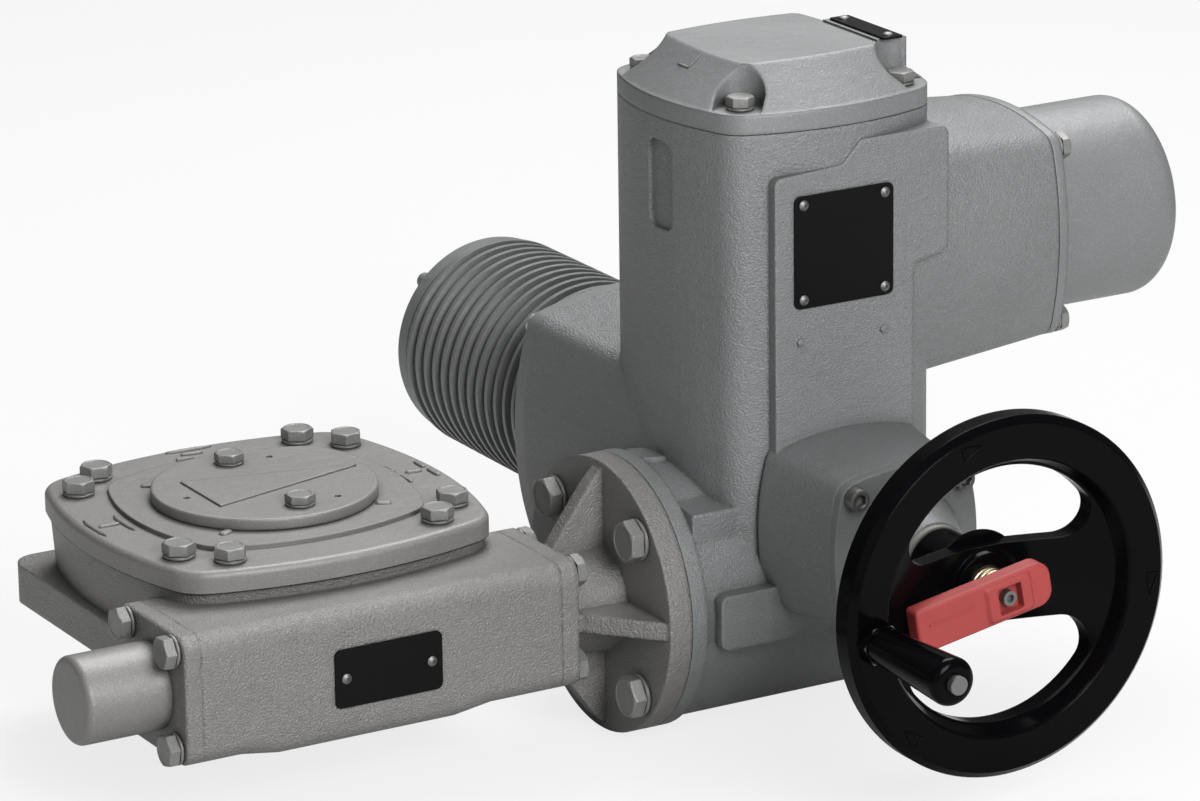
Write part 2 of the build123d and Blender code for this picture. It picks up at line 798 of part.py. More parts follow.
# Switch compartment lid: flange, sloping sides with four corner pockets, plate ledge at +X
with BuildPart() as switch_lid:
    with BuildSketch(column_plane(column_top)):
        add(bowed_square(column_half, column_bow, column_corner))
    extrude(amount=lid_flange)
    with BuildSketch(column_plane(lid_bolt_z)):
        add(bowed_square(column_half - 1, column_bow, column_corner))
    with BuildSketch(column_plane(lid_bolt_z + lid_rise)):
        add(bowed_square(lid_top_half, lid_top_bow, 3))
    loft()
    with BuildSketch(Plane.XY.offset(lid_bolt_z - 2)):
        with Locations(((ledge_x + ledge_end_x) / 2, ledge_y)):
            Rectangle(ledge_end_x - ledge_x, 2 * ledge_half_y)
    extrude(amount=ledge_top - ledge_plate[2] - lid_bolt_z + 2)
    with BuildSketch(column_plane(lid_bolt_z)):
        with Locations(*lid_places):
            Circle(lid_pocket_radius)
        with Locations(*square(lid_bolt_half + lid_pocket_radius / sqrt(2))):
            Rectangle(2 * lid_pocket_radius, 2 * lid_pocket_radius, rotation=45)
    extrude(amount=lid_rise + 2, mode=Mode.SUBTRACT)
    with BuildSketch(column_plane(column_top)):
        Circle(column_bore_radius - 3)
    extrude(amount=lid_flange, mode=Mode.SUBTRACT)
    with BuildSketch(column_plane(lid_bolt_z)):
        Circle(44)
    with BuildSketch(column_plane(lid_bolt_z + 11)):
        Circle(26)
    loft(mode=Mode.SUBTRACT)
    drill(lid_seat, lid_places, lid_thread + running_fit, lid_shank)
save(switch_lid, "switch_lid")
save_group("lid_bolts", hex_bolt(lid_thread, 11, lid_shank), lid_seat, lid_places)

# Control unit inside the column: frame with two pillars and two switch blocks
with BuildPart() as control_frame:
    with BuildSketch(column_plane(column_floor)):
        Circle(column_bore_radius - side_play)
    extrude(amount=4)
    with BuildSketch(column_plane(column_floor)):
        with Locations((-30, 0), (30, 0)):
            Circle(5)
    extrude(amount=104)
    with BuildSketch(column_plane(column_floor + 100)):
        RectangleRounded(78, 30, 6)
    extrude(amount=4)
save(control_frame, "control_frame")
for label, low in (("travel_switches", 34), ("torque_switches", 68)):
    with BuildPart() as switches:
        with BuildSketch(column_plane(column_floor + low)):
            RectangleRounded(72, 34, 3)
            with Locations((-30, 0), (30, 0)):
                Circle(5 + running_fit, mode=Mode.SUBTRACT)
        extrude(amount=24)
    save(switches, label)

# Hollow output shaft with its worm wheel and bearings
shaft_start, shaft_end = hollow_shaft_ends
with BuildPart() as hollow_shaft:
    add(ring(across(shaft_start), hollow_shaft_radius, hollow_bore_radius, shaft_end - shaft_start))
save(hollow_shaft, "hollow_shaft")
with BuildPart() as output_wheel:
    add(
        toothed_rim(
            across(drive_x),
            drive_teeth,
            drive_module,
            drive_worm_radius,
            drive_face_width,
            90 + 180 / drive_teeth,
            hollow_shaft_radius,
        )
    )
save(output_wheel, "output_wheel")
with BuildPart() as output_bearings:
    for x in (shaft_start, shaft_end - output_bearing_width):
        add(
            ring(
                across(x), output_bore_radius, hollow_shaft_radius + running_fit, output_bearing_width
            )
        )
save(output_bearings, "output_bearings")

# Drive worm shaft and its bearings
drive_worm = worm_thread(drive_worm_radius, drive_module, 8 * pi * drive_module, drive_module * tooth_gap_share)
drive_worm_half = 4 * pi * drive_module + drive_module
with BuildPart() as drive_worm_shaft:
    with Locations(Plane(origin=(drive_x, worm_y, drive_z), x_dir=(0, 0, -1), z_dir=(0, -1, 0))):
        add(drive_worm)
    for start, end in ((worm_y - drive_worm_half, drive_front), (drive_back, worm_y + drive_worm_half)):
        with BuildSketch(frontward(start)):
            Circle(drive_journal_radius)
        extrude(amount=start - end)
    with BuildSketch(frontward(drive_back)):
        Circle(motor_shaft_radius)
    extrude(amount=14, mode=Mode.SUBTRACT)
save(drive_worm_shaft, "drive_worm_shaft")
with BuildPart() as drive_bearings:
    for y in (front_bearing_y + drive_bearing_width, back_bearing_y + drive_bearing_width):
        add(
            ring(
                frontward(y), drive_bore_radius, drive_journal_radius + running_fit, drive_bearing_width
            )
        )
save(drive_bearings, "drive_bearings")


def claws(y, turn):
    """Four claws on a ring at y, reaching claw_height towards -Y."""
    with BuildPart() as crown:
        with BuildSketch(frontward(y)):
            with PolarLocations((clutch_radius + spindle_radius + 6) / 2, 4, turn):
                Rectangle(clutch_radius - spindle_radius - 8, 6)
        extrude(amount=claw_height)
    return crown.part


# Clutch sleeve on the drive worm shaft: slides towards the hand shaft
with BuildPart() as clutch_sleeve:
    add(
        ring(
            frontward(clutch_back), clutch_radius, drive_journal_radius + running_fit, clutch_width
        )
    )
    add(claws(clutch_back - clutch_width, 0))
save(clutch_sleeve, "clutch_sleeve")

# Motor: flanged and ring-finned housing, end cap, stator, rotor on its shaft, bearings and screws
motor_axis = Axis((drive_x, 0, drive_z), (0, 1, 0))
motor_section = Plane(origin=(drive_x, 0, drive_z), x_dir=(0, 1, 0), z_dir=(1, 0, 0))
fin_pitch = (motor_cap_y - motor_flange_end) / motor_fin_count
fin_profile = [(motor_joint_y, 0), (motor_joint_y, motor_core_radius)]
for k in range(motor_fin_count):
    base = motor_flange_end + k * fin_pitch
    fin_profile += [
        (base + 0.05 * fin_pitch, motor_core_radius),
        (base + 0.35 * fin_pitch, motor_fin_radius),
        (base + 0.65 * fin_pitch, motor_fin_radius),
        (base + 0.95 * fin_pitch, motor_core_radius),
    ]
fin_profile += [(motor_cap_y, motor_core_radius), (motor_cap_y, 0)]
with BuildPart() as motor_housing:
    with BuildSketch(motor_section):
        Polygon(*fin_profile, align=None)
    revolve(axis=motor_axis)
    with BuildSketch(frontward(motor_flange_end)):
        add(bowed_square(housing_half, housing_bow, housing_corner))
    extrude(amount=motor_flange_end - motor_joint_y)
    with BuildSketch(frontward(motor_cap_y)):
        Circle(motor_bore_radius)
    extrude(amount=motor_cap_y - motor_joint_y - motor_wall, mode=Mode.SUBTRACT)
    with BuildSketch(frontward(motor_joint_y + motor_wall)):
        Circle(motor_shaft_radius + 2)
    extrude(amount=motor_wall, mode=Mode.SUBTRACT)
    with BuildSketch(frontward(motor_joint_y + motor_wall)):
        Circle(motor_bearing_radius)
    extrude(amount=motor_bearing_width, mode=Mode.SUBTRACT)
    drill(motor_seat, motor_places, small_thread + running_fit, 20)
save(motor_housing, "motor_housing")
with BuildPart() as motor_cap:
    with BuildSketch(frontward(motor_end)):
        Circle(motor_core_radius + 4)
    extrude(amount=motor_end - motor_cap_y)
    fillet(motor_cap.faces().sort_by(Axis.Y)[-1].edges(), 2)
    with BuildSketch(frontward(motor_end + 3)):
        with Locations((-33, 33)):
            Circle(4)
    extrude(amount=8)
    with BuildSketch(frontward(motor_cap_y)):
        Circle(motor_bearing_radius)
    extrude(amount=-motor_bearing_width, mode=Mode.SUBTRACT)
save(motor_cap, "motor_cap")
with BuildPart() as stator:
    add(ring(frontward(rotor_end + 2), motor_bore_radius, rotor_radius + 1, rotor_end - rotor_start + 4))
save(stator, "stator")
with BuildPart() as rotor:
    with BuildSketch(frontward(rotor_end)):
        Circle(rotor_radius)
    extrude(amount=rotor_end - rotor_start)
    with BuildSketch(frontward(motor_cap_y + 6)):
        Circle(motor_shaft_radius - running_fit)
    extrude(amount=motor_cap_y + 6 - drive_back + 12)
save(rotor, "rotor")
with BuildPart() as motor_bearings:
    for y in (motor_joint_y + motor_wall, motor_cap_y + motor_bearing_width):
        add(ring(frontward(y), motor_bearing_radius, motor_shaft_radius, motor_bearing_width))
save(motor_bearings, "motor_bearings")
save_group("motor_screws", socket_screw(small_thread, 18), motor_seat, motor_places)

# Plug connection: pin carrier in the box, domed cover with its insert and two blanking plugs
with BuildPart() as pin_carrier:
    with BuildSketch(plug_plane(plug_box_end - 22)):
        Circle(plug_bore_radius)
    extrude(amount=22)
    with BuildSketch(plug_plane(plug_box_end - 22)):
        Circle(7)
    extrude(amount=22, mode=Mode.SUBTRACT)
save(pin_carrier, "pin_carrier")
entry_plane = Plane(
    origin=(0, worm_y + plug_radius + 4, plug_z), x_dir=(-1, 0, 0), z_dir=(0, 1, 0)
)
entry_places = [(-357, 0), (-386, 0)]
with BuildPart() as plug_cover:
    with BuildSketch(plug_plane(plug_box_end)):
        Circle(plug_radius)
    extrude(amount=plug_end - plug_box_end)
    fillet(plug_cover.faces().sort_by(Axis.X)[-1].edges(), 10)
    with BuildSketch(plug_plane(plug_box_end)):
        add(bowed_square(plug_face_half, 140, 12))
    extrude(amount=plug_flange)
    with BuildSketch(entry_plane):
        with Locations(*entry_places):
            Circle(13)
    extrude(amount=-20)
    with BuildSketch(plug_plane(plug_box_end)):
        Circle(plug_bore_radius)
    extrude(amount=plug_end - plug_box_end - 6, mode=Mode.SUBTRACT)
    with BuildSketch(entry_plane):
        with Locations(*entry_places):
            Circle(8 + running_fit)
    extrude(amount=-20, mode=Mode.SUBTRACT)
    drill(plug_seat, plug_places, lid_thread + running_fit, plug_flange)
save(plug_cover, "plug_cover")
with BuildPart() as socket_insert:
    add(ring(plug_plane(plug_box_end + running_fit), plug_bore_radius, 7, 12))
save(socket_insert, "socket_insert")
save_group("plug_bolts", hex_bolt(lid_thread, 11, plug_shank), plug_seat, plug_places)
save_group("blanking_plugs", hex_bolt(8, 22, 9), entry_plane, entry_places)

# Hand drive cover with its neck, the screws and the shaft ring
with BuildPart() as hand_drive_cover:
    with BuildSketch(frontward(boss_face_y)):
        add(bowed_square(boss_face_half, 110, 9))
    extrude(amount=side_plate_thickness)
    with BuildSketch(frontward(boss_face_y - side_plate_thickness)):
        Circle(neck_root_radius)
    with BuildSketch(frontward(neck_tip_y)):
        Circle(neck_tip_radius)
    loft()
    with BuildSketch(frontward(boss_face_y)):
        Circle(hand_shaft_radius + running_fit)
    extrude(amount=boss_face_y - neck_tip_y, mode=Mode.SUBTRACT)
    drill(side_seat, side_places, small_thread + running_fit, side_plate_thickness)
save(hand_drive_cover, "hand_drive_cover")
save_group("side_plate_screws", socket_screw(small_thread, 13), side_seat, side_places)
with BuildPart() as shaft_ring:
    add(ring(frontward(neck_tip_y), neck_tip_radius - 1, hand_shaft_radius + side_play, ring_thickness))
save(shaft_ring, "shaft_ring")

# Hand shaft: hollow, with a claw ring at its inner end
hub_back, hub_front = wheel_hub_span
claw_ring_y = clutch_back - clutch_width - claw_height - clutch_travel - 0.5 - claw_height
with BuildPart() as hand_shaft:
    add(ring(frontward(claw_ring_y), hand_shaft_radius, spindle_radius + running_fit, claw_ring_y - hub_front))
    add(ring(frontward(claw_ring_y), clutch_radius, spindle_radius + running_fit, 5))
    add(claws(claw_ring_y + claw_height, 45))
save(hand_shaft, "hand_shaft")

# Handwheel: dished body with a flat rim, a recessed web, two openings, a spring collar and the hub
grip_x = grip_offset * cos(radians(grip_angle))
grip_z = grip_offset * sin(radians(grip_angle))
wheel_back = wheel_front + wheel_depth
web_back = web_front + web_depth
wheel_section = Plane(origin=(drive_x, 0, drive_z), x_dir=(0, -1, 0), z_dir=(1, 0, 0))
with BuildPart() as handwheel:
    with BuildSketch(wheel_section) as wheel_profile:
        Polygon(
            (-hub_back, hand_shaft_radius),
            (-hub_back, hub_neck_radius),
            (-hub_neck_end, hub_neck_radius),
            (-web_back, hub_outer_radius),
            (-web_rim_front - web_depth, opening_radius + 4),
            (-wheel_back, wheel_radius - 2),
            (-wheel_back + 2, wheel_radius),
            (-wheel_front - 3, wheel_radius),
            (-wheel_front, wheel_radius - 3),
            (-wheel_front, wheel_inner_radius + 1),
            (-wheel_front - 1, wheel_inner_radius),
            (-web_rim_front, opening_radius + 1),
            (-web_front, collar_radius + 3),
            (-web_front, collar_radius + 1),
            (-web_front + collar_rise, collar_radius),
            (-web_front + collar_rise, hand_shaft_radius),
            align=None,
        )
    revolve(axis=motor_axis)
    with BuildSketch(frontward(web_back)) as openings:
        Circle(opening_radius)
        Rectangle(2 * wheel_radius, 2 * web_half_height, mode=Mode.SUBTRACT)
        fillet(openings.vertices(), web_fillet)
    extrude(amount=web_back - web_rim_front + 1, mode=Mode.SUBTRACT)
    with BuildSketch(frontward(wheel_back)):
        with Locations((grip_x, grip_z)):
            Circle(4 + running_fit)
    extrude(amount=wheel_depth, mode=Mode.SUBTRACT)
save(handwheel, "handwheel")

# Grip turning on its spindle
grip_root = wheel_front - 7
with BuildPart() as grip_spindle:
    with BuildSketch(frontward(wheel_front + wheel_depth)):
        with Locations((grip_x, grip_z)):
            Circle(4)
    extrude(amount=wheel_depth + 7 + grip_length + 3)
    with BuildSketch(frontward(wheel_front)):
        with Locations((grip_x, grip_z)):
            RegularPolygon(8, 6, major_radius=False)
    extrude(amount=6.5)
save(grip_spindle, "grip_spindle")
grip_line = Axis((drive_x + grip_x, 0, drive_z + grip_z), (0, 1, 0))
grip_section = Plane(origin=(drive_x + grip_x, 0, drive_z + grip_z), x_dir=(0, -1, 0), z_dir=(-1, 0, 0))
with BuildPart() as grip:
    with BuildSketch(grip_section):
        with BuildLine():
            Polyline(
                (-grip_root + grip_length, 4 + running_fit),
                (-grip_root, 4 + running_fit),
                (-grip_root, grip_radius - 2.5),
            )
            Line((-grip_root, grip_radius - 2.5), (-grip_root + grip_length - 4, grip_radius))
            RadiusArc(
                (-grip_root + grip_length - 4, grip_radius), (-grip_root + grip_length, grip_radius - 4), 4
            )
            Line((-grip_root + grip_length, grip_radius - 4), (-grip_root + grip_length, 4 + running_fit))
        make_face()
    revolve(axis=grip_line)
save(grip, "grip")

# Changeover lever with its spindle through the hand shaft, its screw and the spring behind it
lever_place = Plane(
    origin=(drive_x, lever_plane_y, drive_z),
    x_dir=(cos(radians(lever_tilt)), 0, sin(radians(lever_tilt))),
    z_dir=(0, -1, 0),
)
with BuildPart() as changeover_lever:
    with BuildSketch(lever_place) as lever_outline:
        with Locations(((lever_tail - lever_reach) / 2, 0)):
            Rectangle(lever_reach + lever_tail, 2 * lever_half_height)
        fillet(lever_outline.vertices().group_by(Axis.X)[0], 2)
        fillet(lever_outline.vertices().group_by(Axis.X)[-1], 7)
    extrude(amount=lever_depth)
    fillet(changeover_lever.faces().sort_by(Axis.Y)[0].edges(), 1.5)
    with BuildSketch(lever_place.offset(lever_depth)):
        RectangleRounded(lever_boss[0], lever_boss[1], 2)
    with BuildSketch(lever_place.offset(lever_depth + lever_boss[2])):
        RectangleRounded(lever_boss[0] - 3, lever_boss[1] - 2, 2)
    loft()
    with BuildSketch(lever_place.offset(lever_depth)):
        with Locations((-lever_reach * 0.63, 2)):
            Rectangle(lever_reach * 0.5, 0.9)
    extrude(amount=0.4)
    with BuildSketch(lever_place.offset(lever_depth + lever_boss[2])):
        RectangleRounded(12, 12, 1)
    extrude(amount=-3 - lever_boss[2], mode=Mode.SUBTRACT)
    with BuildSketch(lever_place):
        Circle(spindle_radius)
    extrude(amount=lever_depth - 4, mode=Mode.SUBTRACT)
    with BuildSketch(lever_place):
        Circle(2)
    extrude(amount=lever_depth, mode=Mode.SUBTRACT)
save(changeover_lever, "changeover_lever")
with BuildPart() as lever_spindle:
    with BuildSketch(frontward(claw_ring_y)):
        Circle(spindle_radius)
    extrude(amount=claw_ring_y - lever_plane_y + lever_depth - 4)
    with BuildSketch(frontward(lever_plane_y - lever_depth + 4)):
        Circle(2)
    extrude(amount=-10, mode=Mode.SUBTRACT)
save(lever_spindle, "lever_spindle")
save_group("lever_screw", socket_screw(2, 10), lever_place.offset(lever_depth - 3), [(0, 0)])
with BuildPart() as lever_spring:
    with BuildLine() as coil:
        Helix(
            pitch=2.9,
            height=8.7,
            radius=spring_radius - spring_wire,
            center=(drive_x, hub_front - spring_wire - 0.5, drive_z),
            direction=(0, -1, 0),
        )
    with BuildSketch(Plane(origin=coil.line @ 0, z_dir=coil.line % 0)):
        Circle(spring_wire)
    sweep(path=coil.line, is_frenet=True)
save(lever_spring, "lever_spring")

# Bare nameplates and their rivets
with BuildPart() as nameplates:
    for (wide, high, thick), middle, y in (
        (small_plate, small_plate_middle, worm_y - box_half_y),
        (large_plate, large_plate_middle, pad_front),
    ):
        with BuildSketch(Plane.XZ.offset(-y)):
            with Locations(middle):
                RectangleRounded(wide, high, 3)
        extrude(amount=thick)
    with BuildSketch(Plane.XY.offset(ledge_top - ledge_plate[2])):
        with Locations(((ledge_x + ledge_end_x) / 2, ledge_y)):
            RectangleRounded(ledge_plate[0], ledge_plate[1], 1)
    extrude(amount=ledge_plate[2])
save(nameplates, "nameplates")
rivet = Cylinder(*rivet_size, align=(Align.CENTER, Align.CENTER, Align.MIN))
with BuildPart() as rivets:
    for plane, middle, places in (
        (
            Plane.XZ.offset(box_half_y - worm_y + small_plate[2]),
            small_plate_middle,
            [(-rivet_reach[0], 0), (rivet_reach[0], 0)],
        ),
        (Plane.XZ.offset(-pad_front + large_plate[2]), large_plate_middle, square(*rivet_reach)),
        (
            Plane.XY.offset(ledge_top),
            ((ledge_x + ledge_end_x) / 2, ledge_y),
            [(0, -0.4 * ledge_plate[1]), (0, 0.4 * ledge_plate[1])],
        ),
    ):
        with Locations(plane):
            with Locations(middle):
                with Locations(*places):
                    add(rivet)
save(rivets, "plate_rivets")
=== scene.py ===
"""Looks of an electric valve actuator on its worm gearbox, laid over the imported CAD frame."""
import json
import math

import bpy
import numpy as np
from mathutils import Matrix, Vector


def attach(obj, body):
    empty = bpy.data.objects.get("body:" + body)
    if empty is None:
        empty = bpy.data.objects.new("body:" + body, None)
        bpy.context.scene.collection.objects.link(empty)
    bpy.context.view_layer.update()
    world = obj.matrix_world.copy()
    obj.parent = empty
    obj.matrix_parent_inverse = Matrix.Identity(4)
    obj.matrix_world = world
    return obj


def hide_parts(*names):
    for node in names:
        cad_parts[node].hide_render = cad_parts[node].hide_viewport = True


bl_info = {
    "name": "Valve actuator looks",
    "version": (1, 0, 0),
    "blender": (4, 5, 0),
    "location": "3D view > Sidebar > Actuator",
    "description": "Paint, fasteners, hand drive and studio for an electric valve actuator",
    "category": "Object",
}

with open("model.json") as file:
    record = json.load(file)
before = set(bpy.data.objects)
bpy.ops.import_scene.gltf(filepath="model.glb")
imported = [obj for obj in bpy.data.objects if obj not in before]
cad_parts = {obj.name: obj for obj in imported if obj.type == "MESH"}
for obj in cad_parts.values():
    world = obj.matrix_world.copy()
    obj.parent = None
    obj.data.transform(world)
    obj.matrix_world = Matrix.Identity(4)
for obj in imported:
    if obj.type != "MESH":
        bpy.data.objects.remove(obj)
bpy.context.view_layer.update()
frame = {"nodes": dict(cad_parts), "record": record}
nodes = frame["nodes"]

# Fixed places in the frame, in metres, the same as in the part's source
WORM_Y = -0.080
WORM_Z = 0.032
DRIVE_X = 0.215
DRIVE_Z = 0.0695
PLUG_Z = 0.1753
BOX_END = 0.0955
COVER_TOP = 0.076
POINTER_TOP = 0.0834
FLANGE_LEFT = 0.124
FLANGE_JOINT = 0.135
COVER_JOINT = 0.066
LID_JOINT = 0.247
PLUG_JOINT = 0.333
LID_SEAT = 0.256
PLUG_SEAT = 0.338
PAD_FRONT = -0.1423
PLATE_TOP = 0.2755
WHEEL_FRONT = -0.2716
HAND_COVER_FRONT = -0.190
GRIP_ROOT = (0.14676, WHEEL_FRONT, 0.06353)

# Middles of the three plates' faces
BOX_PLATE = (0.001, -0.113, 0.0302)
PAD_PLATE = (0.2136, PAD_FRONT, 0.1937)
LID_PLATE = (0.257, -0.0915, PLATE_TOP)

# Half distances between fasteners, in metres
COVER_BOLT_FAR = 0.067
COVER_BOLT_NEAR = 0.0506
POINTER_BOLT_REACH = 0.0347
END_BOLT_REACH = 0.022
JOINT_BOLT_CIRCLE = 0.051
LID_BOLT_REACH = 0.041
PLUG_BOLT_REACH = 0.040
COVER_SCREW_REACH = 0.027
BOX_RIVET_REACH = 0.0208
PAD_RIVET_REACH = 0.0213
LID_RIVET_REACH = 0.018

# Thread radius and width across flats of each size of hex bolt
GEARBOX_BOLT = (0.004, 0.013)
POINTER_BOLT = (0.003, 0.012)
JOINT_BOLT = (0.005, 0.017)
HOUSING_BOLT = (0.0035, 0.011)

# Small shapes
SHARP_ANGLE = 0.6
BOLT_TURN = 0.9
MARK_EXPONENT = 4.0
MARK_HEIGHT = 0.0011
PLATEAU_TOP = COVER_TOP + 0.002
ARROW_TURNS = (106.0, -5.0, 226.0)
ARROW_RADIUS = 0.0722
ARROW_HALF = (0.0048, 0.003)

# Surfaces
# Reach of the painted shade that darkens crevices
CREVICE_SHADE_REACH = 0.006
SEAM_HALF = 0.0004
FLECK_SHARE = 0.6

# Studio, solved or chosen in the shared frame
CAMERA_ROWS = (
    (0.86565, 0.16040, -0.47425, -1.10064),
    (-0.50046, 0.25196, -0.82829, -2.22220),
    (-0.01336, 0.95436, 0.29839, 0.89342),
    (0, 0, 0, 1),
)
CAMERA_LENS = 176.55
SENSOR_WIDTH = 36.0
CAMERA_CLIP = (0.1, 30.0)
LAMP_TARGET = (0.13, -0.06, 0.1)
FLOOR_REACH = 4.0
FLOOR_ROWS = 9
WHITE = (1, 1, 1, 1)


class ActuatorFinish(bpy.types.PropertyGroup):
    """Colours and surface sizes of the actuator's finishes."""

    paint: bpy.props.FloatVectorProperty(
        name="Actuator paint",
        description="Cool grey of the actuator's painted castings",
        subtype="COLOR",
        size=4,
        min=0.0,
        max=1.0,
        default=(0.17, 0.1745, 0.1765, 1.0),
    )
    iron: bpy.props.FloatVectorProperty(
        name="Gearbox paint",
        description="Warmer grey of the gearbox's painted castings",
        subtype="COLOR",
        size=4,
        min=0.0,
        max=1.0,
        default=(0.179, 0.176, 0.17, 1.0),
    )
    bolt: bpy.props.FloatVectorProperty(
        name="Bolt paint",
        description="Grey of the painted bolts",
        subtype="COLOR",
        size=4,
        min=0.0,
        max=1.0,
        default=(0.19, 0.19, 0.182, 1.0),
    )
    wheel: bpy.props.FloatVectorProperty(
        name="Handwheel black",
        description="Black of the handwheel and its grip",
        subtype="COLOR",
        size=4,
        min=0.0,
        max=1.0,
        default=(0.0014, 0.0014, 0.0018, 1.0),
    )
    lever: bpy.props.FloatVectorProperty(
        name="Lever red",
        description="Red of the changeover lever",
        subtype="COLOR",
        size=4,
        min=0.0,
        max=1.0,
        default=(0.27, 0.036, 0.034, 1.0),
    )
    grain: bpy.props.FloatProperty(
        name="Casting grain",
        description="Width of the paint's pebbles",
        subtype="DISTANCE",
        unit="LENGTH",
        min=0.0005,
        max=0.01,
        default=0.001,
    )
    edge: bpy.props.FloatProperty(
        name="Casting edge",
        description="Radius that the painted edges are rounded to",
        subtype="DISTANCE",
        unit="LENGTH",
        min=0.0,
        max=0.005,
        default=0.0018,
    )


class ActuatorStage(bpy.types.PropertyGroup):
    """Light and floor of the studio."""

    key_power: bpy.props.FloatProperty(
        name="Key light",
        description="Power of the lamp in front, at the camera's upper right",
        subtype="POWER",
        unit="POWER",
        min=0.0,
        default=42.0,
    )
    fill_power: bpy.props.FloatProperty(
        name="Fill light",
        description="Power of the lamp at the camera's left",
        subtype="POWER",
        unit="POWER",
        min=0.0,
        default=2.0,
    )
    top_power: bpy.props.FloatProperty(
        name="Top light",
        description="Power of the lamp above and behind the part",
        subtype="POWER",
        unit="POWER",
        min=0.0,
        default=44.0,
    )
    sky: bpy.props.FloatProperty(
        name="Sky light",
        description="Strength of the even light from all round",
        min=0.0,
        default=0.2,
    )
    floor_z: bpy.props.FloatProperty(
        name="Floor height",
        description="Height of the floor under the part",
        subtype="DISTANCE",
        unit="LENGTH",
        default=-0.0306,
    )


def quad_faces(rows, columns):
    """Quads over a grid of rows x columns points whose columns close on themselves."""
    r, c = np.meshgrid(np.arange(rows - 1), np.arange(columns), indexing="ij")
    following = (c + 1) % columns
    quads = np.stack(
        [r * columns + c, r * columns + following, (r + 1) * columns + following, (r + 1) * columns + c],
        axis=-1,
    )
    return quads.reshape(-1, 4)


def mesh_piece(name, points, faces):
    """A new object from an array of points and a list of faces, smooth but for its sharp edges."""
    mesh = bpy.data.meshes.new(name)
    mesh.from_pydata(points.tolist(), [], [list(map(int, f)) for f in faces])
    mesh.update()
    mesh.polygons.foreach_set("use_smooth", np.ones(len(mesh.polygons), bool))
    mesh.set_sharp_from_angle(angle=SHARP_ANGLE)
    piece = bpy.data.objects.new(name, mesh)
    bpy.context.scene.collection.objects.link(piece)
    return piece


def turned(profile, columns, outline=None):
    """Points and faces of a closed profile carried round the z axis.

    Point (i, j) is (r cos t, r sin t, z) with r and z from the profile row i and t = 2 pi j / columns.
    outline(t, r, z) may change the radius, as on a hexagon.
    """
    turn = 2 * np.pi * np.arange(columns) / columns
    radius, height = np.asarray(profile, float).T
    r = np.repeat(radius[:, None], columns, axis=1)
    z = np.repeat(height[:, None], columns, axis=1)
    t = np.repeat(turn[None, :], len(radius), axis=0)
    if outline is not None:
        r = outline(t, r, z)
    points = np.stack([r * np.cos(t), r * np.sin(t), z], axis=-1).reshape(-1, 3)
    faces = [list(f) for f in quad_faces(len(radius), columns)]
    faces.append(list(range(columns))[::-1])
    faces.append(list(range((len(radius) - 1) * columns, len(radius) * columns)))
    return points, faces


def placed(shape, origin, x_axis, normal, places):
    """One shape repeated at the places on a plane, each turned a step further about its own axis."""
    points, faces = shape
    x_axis, normal = np.array(x_axis, float), np.array(normal, float)
    across = np.cross(normal, x_axis)
    all_points, all_faces = [], []
    for k, (u, v) in enumerate(places):
        turn = BOLT_TURN * k
        c, s = math.cos(turn), math.sin(turn)
        local = points @ np.array([[c, s, 0], [-s, c, 0], [0, 0, 1]])
        spot = np.array(origin, float) + u * x_axis + v * across
        world = spot + local[:, :1] * x_axis + local[:, 1:2] * across + local[:, 2:] * normal
        all_faces += [[i + k * len(points) for i in f] for f in faces]
        all_points.append(world)
    return np.concatenate(all_points), all_faces


def joined(*shapes):
    """Several shapes as one."""
    points, faces, start = [], [], 0
    for p, f in shapes:
        points.append(p)
        faces += [[i + start for i in one] for one in f]
        start += len(p)
    return np.concatenate(points), faces


def hexagon(t, apothem):
    """Radius of a hexagon at turn t: apothem / cos(t folded to one side)."""
    return apothem / np.cos(np.mod(t + np.pi / 6, np.pi / 3) - np.pi / 6)


def hex_bolt(thread, flats):
    """Hex head over a spring washer.

    The head's radius is the hexagon's, cut by the cone of the chamfer: no more than 0.97 apothem plus
    1.8 times the depth below the top.
    """
    washer, head = thread * 0.4, thread * 1.3
    apothem, top, gap = flats / 2, washer + head, thread * 0.09

    def outline(t, r, z):
        chamfer = 0.97 * apothem + 1.8 * (top - z)
        return np.where(r > 0.9 * apothem, np.minimum(hexagon(t, apothem), chamfer), r)

    depths = (0.0, 0.1, 0.2, 0.35, 0.5, 0.7, 1.0)
    rows = [(0.5 * apothem, washer), (0.8 * apothem, washer), (0.8 * apothem, washer + gap)]
    rows += [(apothem, washer + gap)]
    rows += [(apothem, top - d * 0.24 * apothem) for d in depths[::-1]]
    rows += [(0.88 * apothem, top), (0.84 * apothem, top - 0.02 * flats), (0.2 * apothem, top - 0.02 * flats)]
    cap = turned(rows, 48, outline)
    reach = flats * 0.55
    lip = washer * 0.3
    ring = turned(
        [
            (thread, 0.0),
            (reach - lip, 0.0),
            (reach, lip),
            (reach, washer - lip),
            (reach - lip, washer),
            (thread, washer),
        ],
        40,
    )
    return joined(cap, ring)


def socket_screw(thread, inner):
    """Cap screw head: an upright wall, a rounded rim and a hexagon socket sunk half way."""
    radius, top = thread * 1.65, thread * 2
    rim = radius * 0.14

    def socket(t, r, z):
        return np.where(np.abs(r - inner) < 1e-7, hexagon(t, inner), r)

    rows = [
        (radius, 0.0),
        (radius, top - rim),
        (radius - 0.3 * rim, top - 0.3 * rim),
        (radius - rim, top),
        (inner * 1.2, top),
        (inner, top - 0.1 * thread),
        (inner, top - thread),
        (inner * 0.1, top - 1.2 * thread),
    ]
    return turned(rows, 48, socket)


